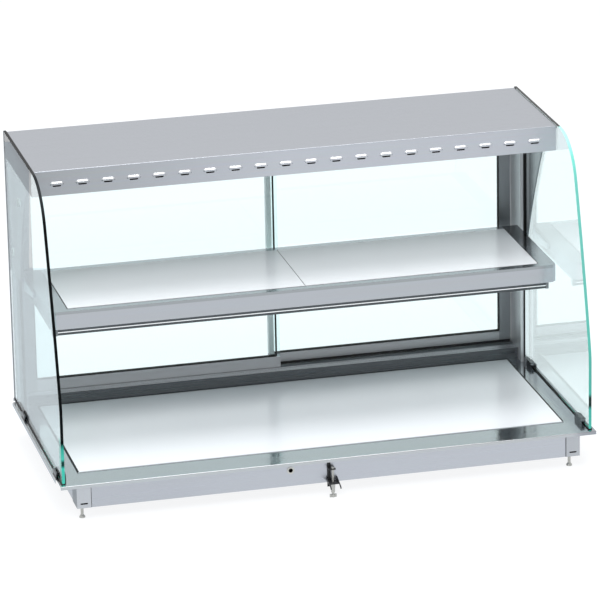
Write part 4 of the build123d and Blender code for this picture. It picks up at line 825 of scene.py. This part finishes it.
# Heater coils: 0.9 mm resistance wire wound at 4 mm pitch inside each quartz tube. Point t of the helix is
# (pitch * t / 2 pi, radius * cos t, radius * sin t); the section lies on the outward and the tube axes.
wire, tree, shader = finish("oxidised_resistance_wire", "6b5a4c", 0.55, 0.8)
where = add(tree, "TexCoord")
scale_bloom = add(tree, "TexNoise", Vector=where.outputs["Object"], Scale=700.0, Detail=2.0)
tone = add(tree, "MixRGB", in0=scale_bloom.outputs[0], in1=rgb("54463b"), in2=rgb("86715f"))
tree.links.new(tone.outputs[0], shader.inputs["Base Color"])
low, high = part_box("heater_tubes")
tube_radius = (high.z - low.z) / 2
coil_end, coil_pitch, wire_size = 0.03, 0.004, 0.0009
coil_radius = 0.45 * tube_radius
coil_length = high.x - low.x - 2 * coil_end
turn = np.arange(0.0, 2 * math.pi * coil_length / coil_pitch, math.pi / 5)
outwards = np.column_stack([np.zeros(len(turn)), np.cos(turn), np.sin(turn)])
for end, y in (("front", low.y + tube_radius), ("rear", high.y - tube_radius)):
    x = low.x + coil_end + coil_pitch * turn / (2 * math.pi)
    axis = np.column_stack([x, np.full(len(turn), y), np.full(len(turn), (low.z + high.z) / 2)])
    coil = carried(f"heater_coil_{end}", rounded_section(wire_size, wire_size, 6, 2.0),
                   axis + coil_radius * outwards, outwards, (1, 0, 0), wire)
    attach(coil, "cabinet")

# Opal lamp cover and the pads between columns and side glasses: cast acrylic, milky, with a faint
# cast texture
opal, tree, shader = finish("opal_acrylic", "f4f4f0", 0.45)
where = add(tree, "TexCoord")
cast = add(tree, "TexNoise", Vector=where.outputs["Object"], Scale=250.0, Detail=2.0)
tone = add(tree, "MixRGB", in0=cast.outputs[0], in1=rgb("efefea"), in2=rgb("f8f8f5"))
tree.links.new(tone.outputs[0], shader.inputs["Base Color"])
relief = add(tree, "Bump", Strength=0.06, Distance=0.0002, Height=cast.outputs[0])
tree.links.new(relief.outputs[0], shader.inputs["Normal"])
shader.inputs["Subsurface Weight"].default_value = 0.2
shader.inputs["Subsurface Radius"].default_value = (0.004, 0.004, 0.004)
dress(opal, "canopy_lamp_cover", "glass_fixing_pads")

# Heater holders and thermostat body: pressed and fired steatite with a fine gritty skin, under the
# canopy and under the deck plate
ceramic, tree, shader = finish("steatite_ceramic", "e6e2d8", 0.6)
where = add(tree, "TexCoord")
grit = add(tree, "TexNoise", Vector=where.outputs["Object"], Scale=1200.0, Detail=3.0)
tone = add(tree, "MixRGB", in0=grit.outputs[0], in1=rgb("dbd6ca"), in2=rgb("efece4"))
tree.links.new(tone.outputs[0], shader.inputs["Base Color"])
relief = add(tree, "Bump", Strength=0.2, Distance=0.0002, Height=grit.outputs[0])
tree.links.new(relief.outputs[0], shader.inputs["Normal"])
dress(ceramic, "heater_holders", "deck_thermostat")

# Heating foils: etched tracks 6 mm apart laminated in film, stuck to the underside of the plates. The
# wave turns once in 0.314 / scale.
foil, tree, shader = finish("etched_foil", "c8c6c0", 0.35, 0.9)
where = add(tree, "TexCoord")
track = add(tree, "TexWave", {"bands_direction": "X"}, Vector=where.outputs["Object"], Scale=52.0)
tone = add(tree, "MixRGB", in0=track.outputs["Fac"], in1=rgb("8f7a4e"), in2=rgb("d2d0ca"))
tree.links.new(tone.outputs[0], shader.inputs["Base Color"])
relief = add(tree, "Bump", Strength=0.3, Distance=0.0002, Height=track.outputs["Fac"])
tree.links.new(relief.outputs[0], shader.inputs["Normal"])
dress(foil, "deck_heating_foil", "shelf_heating_foil")

# Insulation: mineral wool slabs cut to lie under the heating foils, with a matted surface of short
# yellowish fibres
wool, tree, shader = finish("mineral_wool", "c9b98a", 0.95)
where = add(tree, "TexCoord")
fibre = add(tree, "TexNoise", Vector=where.outputs["Object"], Scale=350.0, Detail=6.0, Distortion=1.5)
tone = add(tree, "MixRGB", in0=fibre.outputs[0], in1=rgb("a8966a"), in2=rgb("e2d6ae"))
tree.links.new(tone.outputs[0], shader.inputs["Base Color"])
relief = add(tree, "Bump", Strength=0.8, Distance=0.002, Height=fibre.outputs[0])
tree.links.new(relief.outputs[0], shader.inputs["Normal"])
dress(wool, "deck_insulation", "shelf_insulation")

low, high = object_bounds()
